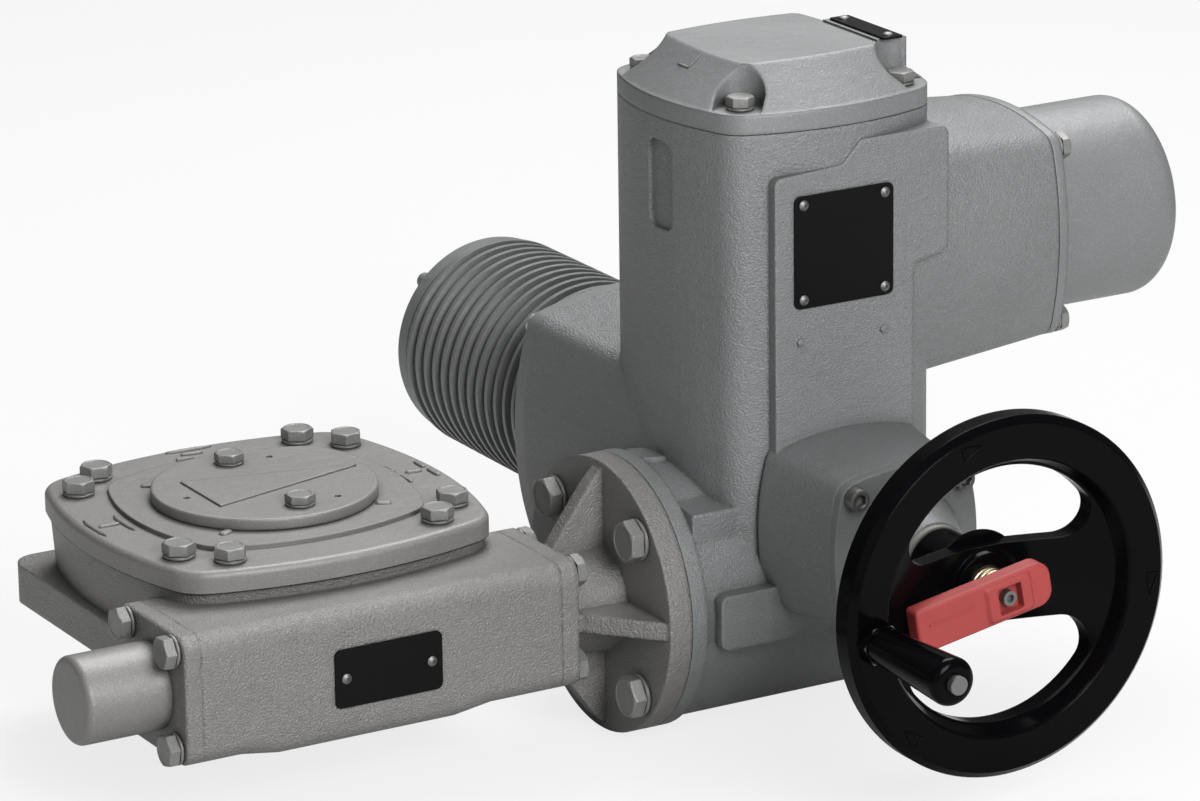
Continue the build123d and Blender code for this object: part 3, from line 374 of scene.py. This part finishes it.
def hex_nut(flats, height):
    """Low nut: the hexagon's radius, cut by a chamfer cone at its front edge."""
    apothem = flats / 2

    def outline(t, r, z):
        return np.where(
            r > 0.9 * apothem, np.minimum(hexagon(t, apothem), 1.02 * apothem + 1.8 * (height - z)), r
        )

    rows = [(0.6 * apothem, 0.0), (apothem, 0.0)]
    rows += [(apothem, height * k) for k in (0.5, 0.7, 0.8, 0.88, 0.94, 1.0)]
    rows += [(0.85 * apothem, height), (0.6 * apothem, height)]
    return turned(rows, 48, outline)


def rivet_head(radius, height):
    """Drive rivet: a low dome, height falling with the square of the radius, and a hole in its middle."""
    hole = 0.32 * radius
    rows = [(radius, 0.0)]
    rows += [(r, height * (1.15 - 0.75 * (r / radius) ** 2)) for r in np.linspace(radius, hole, 7)]
    rows += [(0.9 * hole, 0.35 * height), (0.1 * hole, 0.3 * height)]
    return turned(rows, 32)


def raised_pad(length, width, height, turn=0.0):
    """Raised mark: a superellipse |x/a|^4 + |y/b|^4 = 1 whose rim rolls over to a flat top.

    The rows shrink by the roll's radius while the height follows a quarter circle.
    """
    roll = min(height, 0.3 * width)

    def outline(t, r, z):
        a, b = length / 2 - r, width / 2 - r
        c, s = np.abs(np.cos(t)), np.abs(np.sin(t))
        return ((c / a) ** MARK_EXPONENT + (s / b) ** MARK_EXPONENT) ** (-1 / MARK_EXPONENT)

    angles = np.radians([0, 25, 50, 75, 90])
    rows = [(0.0, -0.3 * height)]
    rows += [(roll * (1 - math.cos(a)), height - roll * (1 - math.sin(a))) for a in angles]
    points, faces = turned(rows, 40, outline)
    c, s = math.cos(turn), math.sin(turn)
    return points @ np.array([[c, s, 0], [-s, c, 0], [0, 0, 1]]), faces


def moved(shape, origin, x_axis, normal):
    """A shape carried unturned to a plane."""
    points, faces = shape
    x_axis, normal = np.array(x_axis, float), np.array(normal, float)
    across = np.cross(normal, x_axis)
    return np.array(origin, float) + points @ np.stack([x_axis, across, normal]), faces


def square_places(half, other=None):
    """Four places at the corners of a square or rectangle."""
    other = half if other is None else other
    return [(sx * half, sy * other) for sx in (-1, 1) for sy in (-1, 1)]


def circle_places(radius, start):
    """Four places on a circle, the first at start degrees."""
    turns = [math.radians(start + 90 * k) for k in range(4)]
    return [(radius * math.cos(t), radius * math.sin(t)) for t in turns]


def new_group(name, inputs, outputs):
    """An empty shader node group with named inputs, each (name, kind, default), and outputs."""
    group = bpy.data.node_groups.new(name, "ShaderNodeTree")
    for label, kind, default in inputs:
        socket = group.interface.new_socket(name=label, in_out="INPUT", socket_type=kind)
        socket.default_value = default
    for label, kind in outputs:
        group.interface.new_socket(name=label, in_out="OUTPUT", socket_type=kind)
    entry = group.nodes.new("NodeGroupInput")
    leave = group.nodes.new("NodeGroupOutput")
    return group, entry, leave


def add_node(tree, kind, links=(), **values):
    """A node with its settings made and its inputs set or linked: links are (input, socket)."""
    node = tree.nodes.new(kind)
    for key, value in values.items():
        setattr(node, key, value)
    for socket, source in links:
        if isinstance(source, bpy.types.NodeSocket):
            tree.links.new(source, node.inputs[socket])
        else:
            node.inputs[socket].default_value = source
    return node


def mixed(tree, factor, low, high):
    """The colour socket of a mix between two colours, each a value or a socket."""
    links = [("Factor", factor), (6, low), (7, high)]
    return add_node(tree, "ShaderNodeMix", links, data_type="RGBA").outputs[2]


def ranged(tree, value, low, high):
    """The socket of a value carried from 0..1 to low..high."""
    return add_node(
        tree, "ShaderNodeMapRange", [("Value", value), ("To Min", low), ("To Max", high)]
    ).outputs[0]


def masked(tree, value, low, high):
    """The socket of a mask that rises from 0 at low to 1 at high."""
    links = [("Value", value), ("From Min", low), ("From Max", high)]
    return add_node(tree, "ShaderNodeMapRange", links, clamp=True).outputs[0]


def skinned(tree, shader, colour, rough, bump):
    """Links a colour, a roughness and a bump to the shader."""
    tree.links.new(colour, shader.inputs["Base Color"])
    tree.links.new(rough, shader.inputs["Roughness"])
    tree.links.new(bump.outputs[0], shader.inputs["Normal"])


def grain_group():
    """Pebbled paint: height of fine pebbles on slow waves, a slow change of tone and bright flecks."""
    group, entry, leave = new_group(
        "paint_grain",
        [("Pebble", "NodeSocketFloat", 0.001), ("Waves", "NodeSocketFloat", 2.0)],
        [("Height", "NodeSocketFloat"), ("Tone", "NodeSocketFloat"), ("Fleck", "NodeSocketFloat")],
    )
    place = add_node(group, "ShaderNodeTexCoord")
    scale = add_node(group, "ShaderNodeMath", [(0, 1.0), (1, entry.outputs["Pebble"])], operation="DIVIDE")
    fine = add_node(
        group,
        "ShaderNodeTexNoise",
        [
            ("Vector", place.outputs["Object"]),
            ("Scale", scale.outputs[0]),
            ("Detail", 2.0),
            ("Roughness", 0.55),
        ],
    )
    slower = add_node(group, "ShaderNodeMath", [(0, scale.outputs[0]), (1, 0.13)], operation="MULTIPLY")
    waves = add_node(
        group,
        "ShaderNodeTexNoise",
        [("Vector", place.outputs["Object"]), ("Scale", slower.outputs[0]), ("Detail", 1.0)],
    )
    both = add_node(
        group,
        "ShaderNodeMath",
        [(0, waves.outputs[0]), (1, entry.outputs["Waves"]), (2, fine.outputs[0])],
        operation="MULTIPLY_ADD",
    )
    slow = add_node(
        group,
        "ShaderNodeTexNoise",
        [("Vector", place.outputs["Object"]), ("Scale", 22.0), ("Detail", 4.0)],
    )
    group.links.new(both.outputs[0], leave.inputs["Height"])
    specks = add_node(
        group,
        "ShaderNodeTexNoise",
        [("Vector", place.outputs["Object"]), ("Scale", 1700.0), ("Detail", 1.0)],
    )
    group.links.new(slow.outputs[0], leave.inputs["Tone"])
    group.links.new(masked(group, specks.outputs[0], 0.55, 0.72), leave.inputs["Fleck"])
    return group


def edge_group():
    """Rounded edges: the normal bent over a radius, and a mask that rises where it departs."""
    group, entry, leave = new_group(
        "soft_edge",
        [("Radius", "NodeSocketFloat", 0.0015)],
        [("Normal", "NodeSocketVector"), ("Mask", "NodeSocketFloat")],
    )
    bevel = add_node(group, "ShaderNodeBevel", [("Radius", entry.outputs["Radius"])], samples=6)
    plain = add_node(group, "ShaderNodeNewGeometry")
    along = add_node(
        group,
        "ShaderNodeVectorMath",
        [(0, bevel.outputs[0]), (1, plain.outputs["Normal"])],
        operation="DOT_PRODUCT",
    )
    group.links.new(bevel.outputs[0], leave.inputs["Normal"])
    group.links.new(masked(group, along.outputs["Value"], 0.995, 0.8), leave.inputs["Mask"])
    return group


def crevice_shade_group():
    """Painted shade in corners: a mask that rises where the faces round about shut the light out."""
    group, entry, leave = new_group(
        "painted_crevice_shade",
        [("Reach", "NodeSocketFloat", 0.006)],
        [("Mask", "NodeSocketFloat")],
    )
    shut = add_node(group, "ShaderNodeAmbientOcclusion", [("Distance", entry.outputs["Reach"])], samples=6)
    group.links.new(masked(group, shut.outputs["AO"], 0.85, 0.3), leave.inputs["Mask"])
    return group


def seam_group():
    """Thin dark joint: a mask over the plane where position along the axis is At, Half to either side."""
    group, entry, leave = new_group(
        "joint_line",
        [
            ("Axis", "NodeSocketVector", (0.0, 0.0, 1.0)),
            ("At", "NodeSocketFloat", 0.0),
            ("Half", "NodeSocketFloat", 0.0004),
        ],
        [("Mask", "NodeSocketFloat")],
    )
    place = add_node(group, "ShaderNodeTexCoord")
    along = add_node(
        group,
        "ShaderNodeVectorMath",
        [(0, place.outputs["Object"]), (1, entry.outputs["Axis"])],
        operation="DOT_PRODUCT",
    )
    offset = add_node(
        group,
        "ShaderNodeMath",
        [(0, along.outputs["Value"]), (1, entry.outputs["At"])],
        operation="SUBTRACT",
    )
    away = add_node(group, "ShaderNodeMath", [(0, offset.outputs[0])], operation="ABSOLUTE")
    mask = add_node(
        group, "ShaderNodeMath", [(0, away.outputs[0]), (1, entry.outputs["Half"])], operation="LESS_THAN"
    )
    group.links.new(mask.outputs[0], leave.inputs["Mask"])
    return group


def new_material(name):
    """A material with its Principled shader and output, and the tree that holds them."""
    material = bpy.data.materials.new(name)
    material.use_nodes = True
    tree = material.node_tree
    shader = tree.nodes["Principled BSDF"]
    return material, tree, shader


def group_node(tree, name, **values):
    """A placed shared group with its inputs set."""
    node = tree.nodes.new("ShaderNodeGroup")
    node.node_tree = bpy.data.node_groups[name]
    for key, value in values.items():
        node.inputs[key].default_value = value
    return node


def shade(colour, factor):
    """A colour made darker or lighter."""
    return (*[min(1.0, c * factor) for c in colour[:3]], 1.0)


def painted(name, colour, grain, depth, edge, metallic, roughness, wear_and_highlight, waves=2.0, joints=()):
    """Painted metal: pebbled grain, bright flecks, slow change of tone, rounded edges lightened partly by
    slight wear and partly by painted highlight, and crevices darkened by painted shade.

    joints are (axis, place) pairs where a thin dark line marks the joint with the next part.
    """
    material, tree, shader = new_material(name)
    pebbles = group_node(tree, "paint_grain", Pebble=grain, Waves=waves)
    soft = group_node(tree, "soft_edge", Radius=edge)
    tone = mixed(tree, pebbles.outputs["Tone"], shade(colour, 0.86), shade(colour, 1.12))
    spark = add_node(
        tree, "ShaderNodeMath", [(0, pebbles.outputs["Fleck"]), (1, FLECK_SHARE)], operation="MULTIPLY"
    )
    # Edges lighten toward 1.65 times the colour, flecks with them: partly worn paint, partly painted
    # highlight
    rubbed_and_lit = add_node(
        tree,
        "ShaderNodeMath",
        [(0, soft.outputs["Mask"]), (1, wear_and_highlight), (2, spark.outputs[0])],
        operation="MULTIPLY_ADD",
    )
    worn_and_lit = mixed(tree, rubbed_and_lit.outputs[0], tone, shade(colour, 1.65))
    # Painted shade: crevices darken toward 0.4 times the colour where the faces round about shut the light
    # out
    corners = group_node(tree, "painted_crevice_shade", Reach=CREVICE_SHADE_REACH)
    skin = mixed(tree, corners.outputs["Mask"], worn_and_lit, shade(colour, 0.4))
    for axis, at in joints:
        line = group_node(tree, "joint_line", Axis=axis, At=at, Half=SEAM_HALF)
        skin = mixed(tree, line.outputs["Mask"], skin, shade(colour, 0.12))
    rough = ranged(tree, pebbles.outputs["Tone"], roughness - 0.05, roughness + 0.06)
    bump = add_node(
        tree,
        "ShaderNodeBump",
        [
            ("Strength", 0.9),
            ("Distance", depth),
            ("Height", pebbles.outputs["Height"]),
            ("Normal", soft.outputs["Normal"]),
        ],
    )
    skinned(tree, shader, skin, rough, bump)
    shader.inputs["Metallic"].default_value = metallic
    return material


def moulded(name, colour, roughness, grain, depth, shine, edge):
    """Moulded plastic: even colour with faint mottle, fine grain and rounded edges."""
    material, tree, shader = new_material(name)
    pebbles = group_node(tree, "paint_grain", Pebble=grain, Waves=0.8)
    soft = group_node(tree, "soft_edge", Radius=edge)
    tone = mixed(tree, pebbles.outputs["Tone"], shade(colour, 0.85), shade(colour, 1.2))
    rough = ranged(tree, pebbles.outputs["Tone"], roughness - 0.04, roughness + 0.08)
    bump = add_node(
        tree,
        "ShaderNodeBump",
        [
            ("Strength", 0.5),
            ("Distance", depth),
            ("Height", pebbles.outputs["Height"]),
            ("Normal", soft.outputs["Normal"]),
        ],
    )
    skinned(tree, shader, tone, rough, bump)
    shader.inputs["Specular IOR Level"].default_value = shine
    return material


def bare_metal(name, colour, roughness, grain):
    """Bare turned metal: bright, with fine machining streaks in its roughness and bump."""
    material, tree, shader = new_material(name)
    place = add_node(tree, "ShaderNodeTexCoord")
    stretch = add_node(tree, "ShaderNodeMapping", [("Vector", place.outputs["Object"])])
    stretch.inputs["Scale"].default_value = (1.0, 9.0, 1.0)
    streaks = add_node(
        tree, "ShaderNodeTexNoise", [("Vector", stretch.outputs[0]), ("Scale", 1.0 / grain), ("Detail", 4.0)]
    )
    tone = mixed(tree, streaks.outputs[0], shade(colour, 0.75), shade(colour, 1.15))
    rough = ranged(tree, streaks.outputs[0], roughness - 0.08, roughness + 0.12)
    bump = add_node(
        tree, "ShaderNodeBump", [("Strength", 0.25), ("Distance", 0.0001), ("Height", streaks.outputs[0])]
    )
    skinned(tree, shader, tone, rough, bump)
    shader.inputs["Metallic"].default_value = 1.0
    return material


def dress(piece, material):
    """Gives a piece or CAD node its one material."""
    piece.data.materials.clear()
    piece.data.materials.append(bpy.data.materials[material])


class ACTUATOR_OT_finishes(bpy.types.Operator):
    """Makes the finishes and gives them to the CAD nodes."""

    bl_idname = "actuator.finishes"
    bl_label = "Finishes"

    def execute(self, context):
        finish = context.scene.actuator_finish
        grain_group()
        edge_group()
        seam_group()
        crevice_shade_group()
        paint, iron, bolt = tuple(finish.paint), tuple(finish.iron), tuple(finish.bolt)
        grain, edge = finish.grain, finish.edge
        flange_joint = (((1, 0, 0), FLANGE_JOINT),)
        cover_joints = (((0, 0, 1), COVER_JOINT), ((0, 0, 1), LID_JOINT), ((1, 0, 0), PLUG_JOINT))
        # Every painted finish darkens its crevices with painted shade
        painted("iron_paint", iron, grain, 0.0011, edge * 1.5, 0.3, 0.45, 0.35, 0.55)
        # The eighth value lightens edges, partly as wear and partly as painted highlight
        painted("iron_cover", iron, grain * 0.8, 0.00018, edge * 0.7, 0.25, 0.48, 0.2, 1.5, cover_joints)
        painted("casting_paint", paint, grain * 0.9, 0.00085, edge * 1.3, 0.3, 0.46, 0.35, 0.55, flange_joint)
        painted("cover_paint", paint, grain * 0.8, 0.00018, edge * 1.5, 0.25, 0.48, 0.2, 1.5, cover_joints)
        painted("smooth_paint", paint, grain * 0.8, 0.00018, edge * 0.7, 0.25, 0.48, 0.2)
        # The fins' strong edge lightening is a painted highlight on their ridges
        painted("fin_paint", paint, grain * 0.8, 0.00015, edge * 0.3, 0.25, 0.45, 0.9)
        painted("bolt_paint", bolt, grain * 0.6, 0.00012, 0.0005, 0.35, 0.44, 0.35)
        moulded("wheel_black", tuple(finish.wheel), 0.15, 0.0011, 0.00003, 0.055, 0.0009)
        moulded("lever_red", tuple(finish.lever), 0.5, 0.0008, 0.0001, 0.35, 0.0006)
        moulded("plate_black", (0.003, 0.003, 0.0035, 1.0), 0.38, 0.0012, 0.00003, 0.1, 0.0004)
        moulded("insulation", (0.03, 0.03, 0.032, 1.0), 0.6, 0.002, 0.0001, 0.4, 0.0005)
        bare_metal("bright_steel", (0.24, 0.24, 0.235, 1.0), 0.45, 0.0009)
        bare_metal("rivet_steel", (0.2, 0.2, 0.195, 1.0), 0.5, 0.0006)
        bare_metal("machine_steel", (0.42, 0.42, 0.43, 1.0), 0.38, 0.0012)
        bare_metal("spring_brass", (0.5, 0.42, 0.28, 1.0), 0.34, 0.0008)
        bare_metal("gear_bronze", (0.6, 0.42, 0.2, 1.0), 0.36, 0.0012)
        finishes = {
            "casting": "iron_paint",
            "painted_aluminium": "casting_paint",
            "painted_bolt": "bolt_paint",
            "bright_steel": "bright_steel",
            "machine_steel": "machine_steel",
            "bronze": "gear_bronze",
            "black_plastic": "wheel_black",
            "insulation": "insulation",
            "red_plastic": "lever_red",
            "plate": "plate_black",
            "rivet": "rivet_steel",
        }
        for entry in frame["record"]["subparts"]:
            dress(nodes[entry["node"]], finishes[entry["material_slot"]])
        for name in ("motor_cap", "hand_drive_cover"):
            dress(nodes[name], "smooth_paint")
        dress(nodes["motor_housing"], "fin_paint")
        for name in ("switch_lid", "plug_cover"):
            dress(nodes[name], "cover_paint")
        for name in ("stop_cap", "position_pointer", "gearbox_cover"):
            dress(nodes[name], "iron_cover")
        for name in ("lever_screw", "grip_spindle"):
            dress(nodes[name], "rivet_steel")
        dress(nodes["lever_spring"], "spring_brass")
        return {"FINISHED"}


class ACTUATOR_OT_bolts(bpy.types.Operator):
    """Makes the painted hex bolts with their spring washers."""

    bl_idname = "actuator.bolts"
    bl_label = "Hex bolts"

    def execute(self, context):
        cover = square_places(COVER_BOLT_FAR, COVER_BOLT_NEAR)
        cover += square_places(COVER_BOLT_NEAR, COVER_BOLT_FAR)
        pointer = [(0, -POINTER_BOLT_REACH), (0, POINTER_BOLT_REACH)]
        ends = square_places(END_BOLT_REACH)
        circle = circle_places(JOINT_BOLT_CIRCLE, 45)
        east, west, south, north, up = (1, 0, 0), (-1, 0, 0), (0, -1, 0), (0, 1, 0), (0, 0, 1)
        rows = (
            ("cover_bolts", "housing", GEARBOX_BOLT, (0, 0, COVER_TOP), east, up, cover),
            ("pointer_bolts", "valve_drive", POINTER_BOLT, (0, 0, POINTER_TOP), east, up, pointer),
            ("end_plate_bolts", "housing", GEARBOX_BOLT, (-BOX_END, WORM_Y, WORM_Z), south, west, ends),
            ("input_flange_bolts", "housing", GEARBOX_BOLT, (BOX_END, WORM_Y, WORM_Z), north, east, ends),
            ("joint_bolts", "housing", JOINT_BOLT, (FLANGE_LEFT, WORM_Y, WORM_Z), south, west, circle),
            (
                "lid_bolts",
                "housing",
                HOUSING_BOLT,
                (DRIVE_X, WORM_Y, LID_SEAT),
                east,
                up,
                square_places(LID_BOLT_REACH),
            ),
            (
                "plug_bolts",
                "housing",
                HOUSING_BOLT,
                (PLUG_SEAT, WORM_Y, PLUG_Z),
                north,
                east,
                square_places(PLUG_BOLT_REACH),
            ),
        )
        for node, body, (thread, flats), origin, x_axis, normal, places in rows:
            piece = mesh_piece(
                node + "_heads", *placed(hex_bolt(thread, flats), origin, x_axis, normal, places)
            )
            dress(piece, "bolt_paint")
            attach(piece, body)
            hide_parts(node)
        return {"FINISHED"}


class ACTUATOR_OT_screws(bpy.types.Operator):
    """Makes the bright socket screws of the hand drive cover."""

    bl_idname = "actuator.screws"
    bl_label = "Socket screws"

    def execute(self, context):
        piece = mesh_piece(
            "cover_screw_heads",
            *placed(
                socket_screw(0.003, 0.0026),
                (DRIVE_X, HAND_COVER_FRONT, DRIVE_Z),
                (1, 0, 0),
                (0, -1, 0),
                square_places(COVER_SCREW_REACH),
            ),
        )
        dress(piece, "rivet_steel")
        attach(piece, "housing")
        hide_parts("side_plate_screws")
        return {"FINISHED"}


class ACTUATOR_OT_rivets(bpy.types.Operator):
    """Makes the drive rivets of the three bare plates."""

    bl_idname = "actuator.rivets"
    bl_label = "Rivets"

    def execute(self, context):
        head = rivet_head(0.0023, 0.0012)
        east, south, up = (1, 0, 0), (0, -1, 0), (0, 0, 1)
        box_places = [(-BOX_RIVET_REACH, 0), (BOX_RIVET_REACH, 0)]
        pad_places = square_places(BOX_RIVET_REACH, PAD_RIVET_REACH)
        lid_places = [(0, -LID_RIVET_REACH), (0, LID_RIVET_REACH)]
        piece = mesh_piece(
            "drive_rivets",
            *joined(
                placed(head, BOX_PLATE, east, south, box_places),
                placed(head, PAD_PLATE, east, south, pad_places),
                placed(head, LID_PLATE, east, up, lid_places),
            ),
        )
        dress(piece, "rivet_steel")
        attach(piece, "housing")
        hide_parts("plate_rivets")
        return {"FINISHED"}


class ACTUATOR_OT_marks(bpy.types.Operator):
    """Makes the raised casting marks of the gearbox cover and the lid, plain bars and ovals."""

    bl_idname = "actuator.marks"
    bl_label = "Casting marks"

    def execute(self, context):
        up, east = (0, 0, 1), (1, 0, 0)
        bars = (
            (0.0023, 0.0815, COVER_TOP, 0.0225, 0.0024, -0.06),
            (0.0012, 0.0755, COVER_TOP, 0.0105, 0.0022, -0.15),
            (-0.0050, 0.0700, COVER_TOP, 0.0085, 0.0020, -0.15),
            (0.0664, 0.0066, COVER_TOP, 0.0080, 0.0024, 1.57),
            (0.0664, -0.0090, COVER_TOP, 0.0100, 0.0024, 1.57),
            (0.0812, 0.0063, COVER_TOP, 0.0090, 0.0024, 1.57),
            (0.0812, -0.0069, COVER_TOP, 0.0105, 0.0024, 1.57),
            (0.0740, -0.0014, COVER_TOP, 0.0075, 0.0022, -0.2),
            (-0.0820, 0.0024, COVER_TOP, 0.0240, 0.0026, 1.57),
            (-0.0680, 0.0021, COVER_TOP, 0.0220, 0.0026, 1.57),
            (-0.0748, 0.0030, COVER_TOP, 0.0100, 0.0022, 0.0),
            (0.0390, -0.0385, PLATEAU_TOP, 0.0070, 0.0042, -0.5),
            (-0.0385, -0.0385, PLATEAU_TOP, 0.0070, 0.0042, 0.5),
            (-0.0385, 0.0385, PLATEAU_TOP, 0.0070, 0.0042, -0.5),
        )
        shapes = [
            moved(raised_pad(long, wide, MARK_HEIGHT, turn), (x, y, z), east, up)
            for x, y, z, long, wide, turn in bars
        ]
        piece = mesh_piece("cover_marks", *joined(*shapes))
        dress(piece, "iron_cover")
        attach(piece, "housing")
        slope = np.array([0.789, 0.0, 0.614])
        outward = np.array([-0.614, 0.0, 0.789])
        corner = np.array([0.1700, -0.0845, 0.2672])
        ribs = [
            moved(raised_pad(0.0092, 0.0011, 0.0006), corner + 0.0041 * slope, slope, outward),
            moved(raised_pad(0.0095, 0.0011, 0.0006), corner + [0, 0.0042, 0], (0, 1, 0), outward),
        ]
        piece = mesh_piece("lid_mark", *joined(*ribs))
        dress(piece, "smooth_paint")
        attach(piece, "housing")
        return {"FINISHED"}


class ACTUATOR_OT_arrows(bpy.types.Operator):
    """Makes the arrowheads on the handwheel's rim, outlined by thin ribs, and the grip's black nut."""

    bl_idname = "actuator.arrows"
    bl_label = "Wheel arrows"

    def execute(self, context):
        shapes = []
        front = (0, -1, 0)
        along, aside = ARROW_HALF
        for turn in ARROW_TURNS:
            t = math.radians(turn)
            outward = np.array([math.cos(t), 0.0, math.sin(t)])
            clockwise = np.array([math.sin(t), 0.0, -math.cos(t)])
            middle = np.array([DRIVE_X, WHEEL_FRONT, DRIVE_Z]) + ARROW_RADIUS * outward
            corners = [
                middle + along * clockwise,
                middle - along * clockwise + aside * outward,
                middle - along * clockwise - aside * outward,
            ]
            for a, b in zip(corners, corners[1:] + corners[:1]):
                span = b - a
                long = float(np.linalg.norm(span))
                rib = raised_pad(long + 0.0006, 0.0008, 0.0004)
                shapes.append(moved(rib, (a + b) / 2, span / long, front))
        piece = mesh_piece("wheel_arrows", *joined(*shapes))
        dress(piece, "wheel_black")
        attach(piece, "handwheel")
        tilt = (math.cos(math.pi / 6), 0.0, math.sin(math.pi / 6))
        piece = mesh_piece("grip_nut", *moved(hex_nut(0.0163, 0.0067), GRIP_ROOT, tilt, front))
        dress(piece, "wheel_black")
        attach(piece, "handwheel")
        return {"FINISHED"}


class ACTUATOR_OT_stage(bpy.types.Operator):
    """Makes the camera, the lamps, the sky and the floor."""

    bl_idname = "actuator.stage"
    bl_label = "Studio"

    def execute(self, context):
        stage = context.scene.actuator_stage
        scene = context.scene
        scene.view_settings.view_transform = "Standard"
        lens = bpy.data.cameras.new("camera")
        lens.lens, lens.sensor_width = CAMERA_LENS, SENSOR_WIDTH
        lens.clip_start, lens.clip_end = CAMERA_CLIP
        camera = bpy.data.objects.new("camera", lens)
        scene.collection.objects.link(camera)
        camera.matrix_world = Matrix(CAMERA_ROWS)
        scene.camera = camera
        lamps = (
            ("key", stage.key_power, (0.0, -1.75, 1.0), 0.9),
            ("fill", stage.fill_power, (-1.5, -1.2, 0.7), 1.2),
            ("top", stage.top_power, (0.75, 0.6, 1.75), 1.1),
        )
        target = Vector(LAMP_TARGET)
        for name, power, spot, width in lamps:
            light = bpy.data.lights.new(name, "AREA")
            light.energy, light.size = power, width
            lamp = bpy.data.objects.new(name, light)
            scene.collection.objects.link(lamp)
            lamp.location = spot
            lamp.rotation_euler = (target - lamp.location).to_track_quat("-Z", "Y").to_euler()
        world = bpy.data.worlds.new("sky")
        scene.world = world
        world.use_nodes = True
        tree = world.node_tree
        even = tree.nodes["Background"]
        even.inputs["Color"].default_value = WHITE
        ray = add_node(tree, "ShaderNodeTexCoord")
        height = add_node(tree, "ShaderNodeSeparateXYZ", [(0, ray.outputs["Generated"])])
        dome = add_node(
            tree,
            "ShaderNodeMapRange",
            [
                ("Value", height.outputs["Z"]),
                ("From Min", 0.0),
                ("From Max", 0.8),
                ("To Min", 0.35 * stage.sky),
                ("To Max", 1.3 * stage.sky),
            ],
            clamp=True,
        )
        tree.links.new(dome.outputs[0], even.inputs["Strength"])
        white = add_node(tree, "ShaderNodeBackground", [("Color", WHITE), ("Strength", 1.0)])
        seen = add_node(tree, "ShaderNodeLightPath")
        mix = add_node(
            tree,
            "ShaderNodeMixShader",
            [(0, seen.outputs["Is Camera Ray"]), (1, even.outputs[0]), (2, white.outputs[0])],
        )
        tree.links.new(mix.outputs[0], tree.nodes["World Output"].inputs["Surface"])
        steps = np.linspace(-FLOOR_REACH, FLOOR_REACH, FLOOR_ROWS)
        u, v = np.meshgrid(steps, steps)
        points = np.stack([u, v, np.full_like(u, stage.floor_z)], axis=-1).reshape(-1, 3)
        index = np.arange(FLOOR_ROWS**2).reshape(FLOOR_ROWS, FLOOR_ROWS)
        faces = np.stack([index[:-1, :-1], index[:-1, 1:], index[1:, 1:], index[1:, :-1]], axis=-1)
        floor = mesh_piece("floor", points, faces.reshape(-1, 4))
        material, tree, shader = new_material("floor_white")
        shader.inputs["Base Color"].default_value = (0.55, 0.55, 0.55, 1)
        shader.inputs["Roughness"].default_value = 0.9
        glow = add_node(tree, "ShaderNodeEmission", [("Color", WHITE), ("Strength", 1.0)])
        seen = add_node(tree, "ShaderNodeLightPath")
        share = add_node(
            tree, "ShaderNodeMath", [(0, seen.outputs["Is Camera Ray"]), (1, 0.8)], operation="MULTIPLY"
        )
        mix = add_node(
            tree, "ShaderNodeMixShader", [(0, share.outputs[0]), (1, shader.outputs[0]), (2, glow.outputs[0])]
        )
        tree.links.new(mix.outputs[0], tree.nodes["Material Output"].inputs["Surface"])
        floor.data.materials.append(material)
        return {"FINISHED"}


class ACTUATOR_PT_panel(bpy.types.Panel):
    """Lists the steps that dress the actuator."""

    bl_idname = "ACTUATOR_PT_panel"
    bl_label = "Valve actuator"
    bl_space_type = "VIEW_3D"
    bl_region_type = "UI"
    bl_category = "Actuator"

    def draw(self, context):
        layout = self.layout
        for name in ("paint", "iron", "bolt", "wheel", "lever", "grain", "edge"):
            layout.prop(context.scene.actuator_finish, name)
        for name in ("key_power", "fill_power", "top_power", "sky", "floor_z"):
            layout.prop(context.scene.actuator_stage, name)
        for step in STEPS:
            layout.operator(step.bl_idname)


STEPS = (
    ACTUATOR_OT_stage,
    ACTUATOR_OT_finishes,
    ACTUATOR_OT_bolts,
    ACTUATOR_OT_screws,
    ACTUATOR_OT_rivets,
    ACTUATOR_OT_marks,
    ACTUATOR_OT_arrows,
)
CLASSES = (ActuatorFinish, ActuatorStage, *STEPS, ACTUATOR_PT_panel)


def register():
    """Registers the classes and puts their values on the scene."""
    for one in CLASSES:
        bpy.utils.register_class(one)
    bpy.types.Scene.actuator_finish = bpy.props.PointerProperty(type=ActuatorFinish)
    bpy.types.Scene.actuator_stage = bpy.props.PointerProperty(type=ActuatorStage)


def unregister():
    """Takes the values and classes away again."""
    del bpy.types.Scene.actuator_stage
    del bpy.types.Scene.actuator_finish
    for one in reversed(CLASSES):
        bpy.utils.unregister_class(one)


def main():
    """Runs every step in order."""
    register()
    bpy.ops.actuator.stage()
    bpy.ops.actuator.finishes()
    bpy.ops.actuator.bolts()
    bpy.ops.actuator.screws()
    bpy.ops.actuator.rivets()
    bpy.ops.actuator.marks()
    bpy.ops.actuator.arrows()


if __name__ == "__main__":
    main()
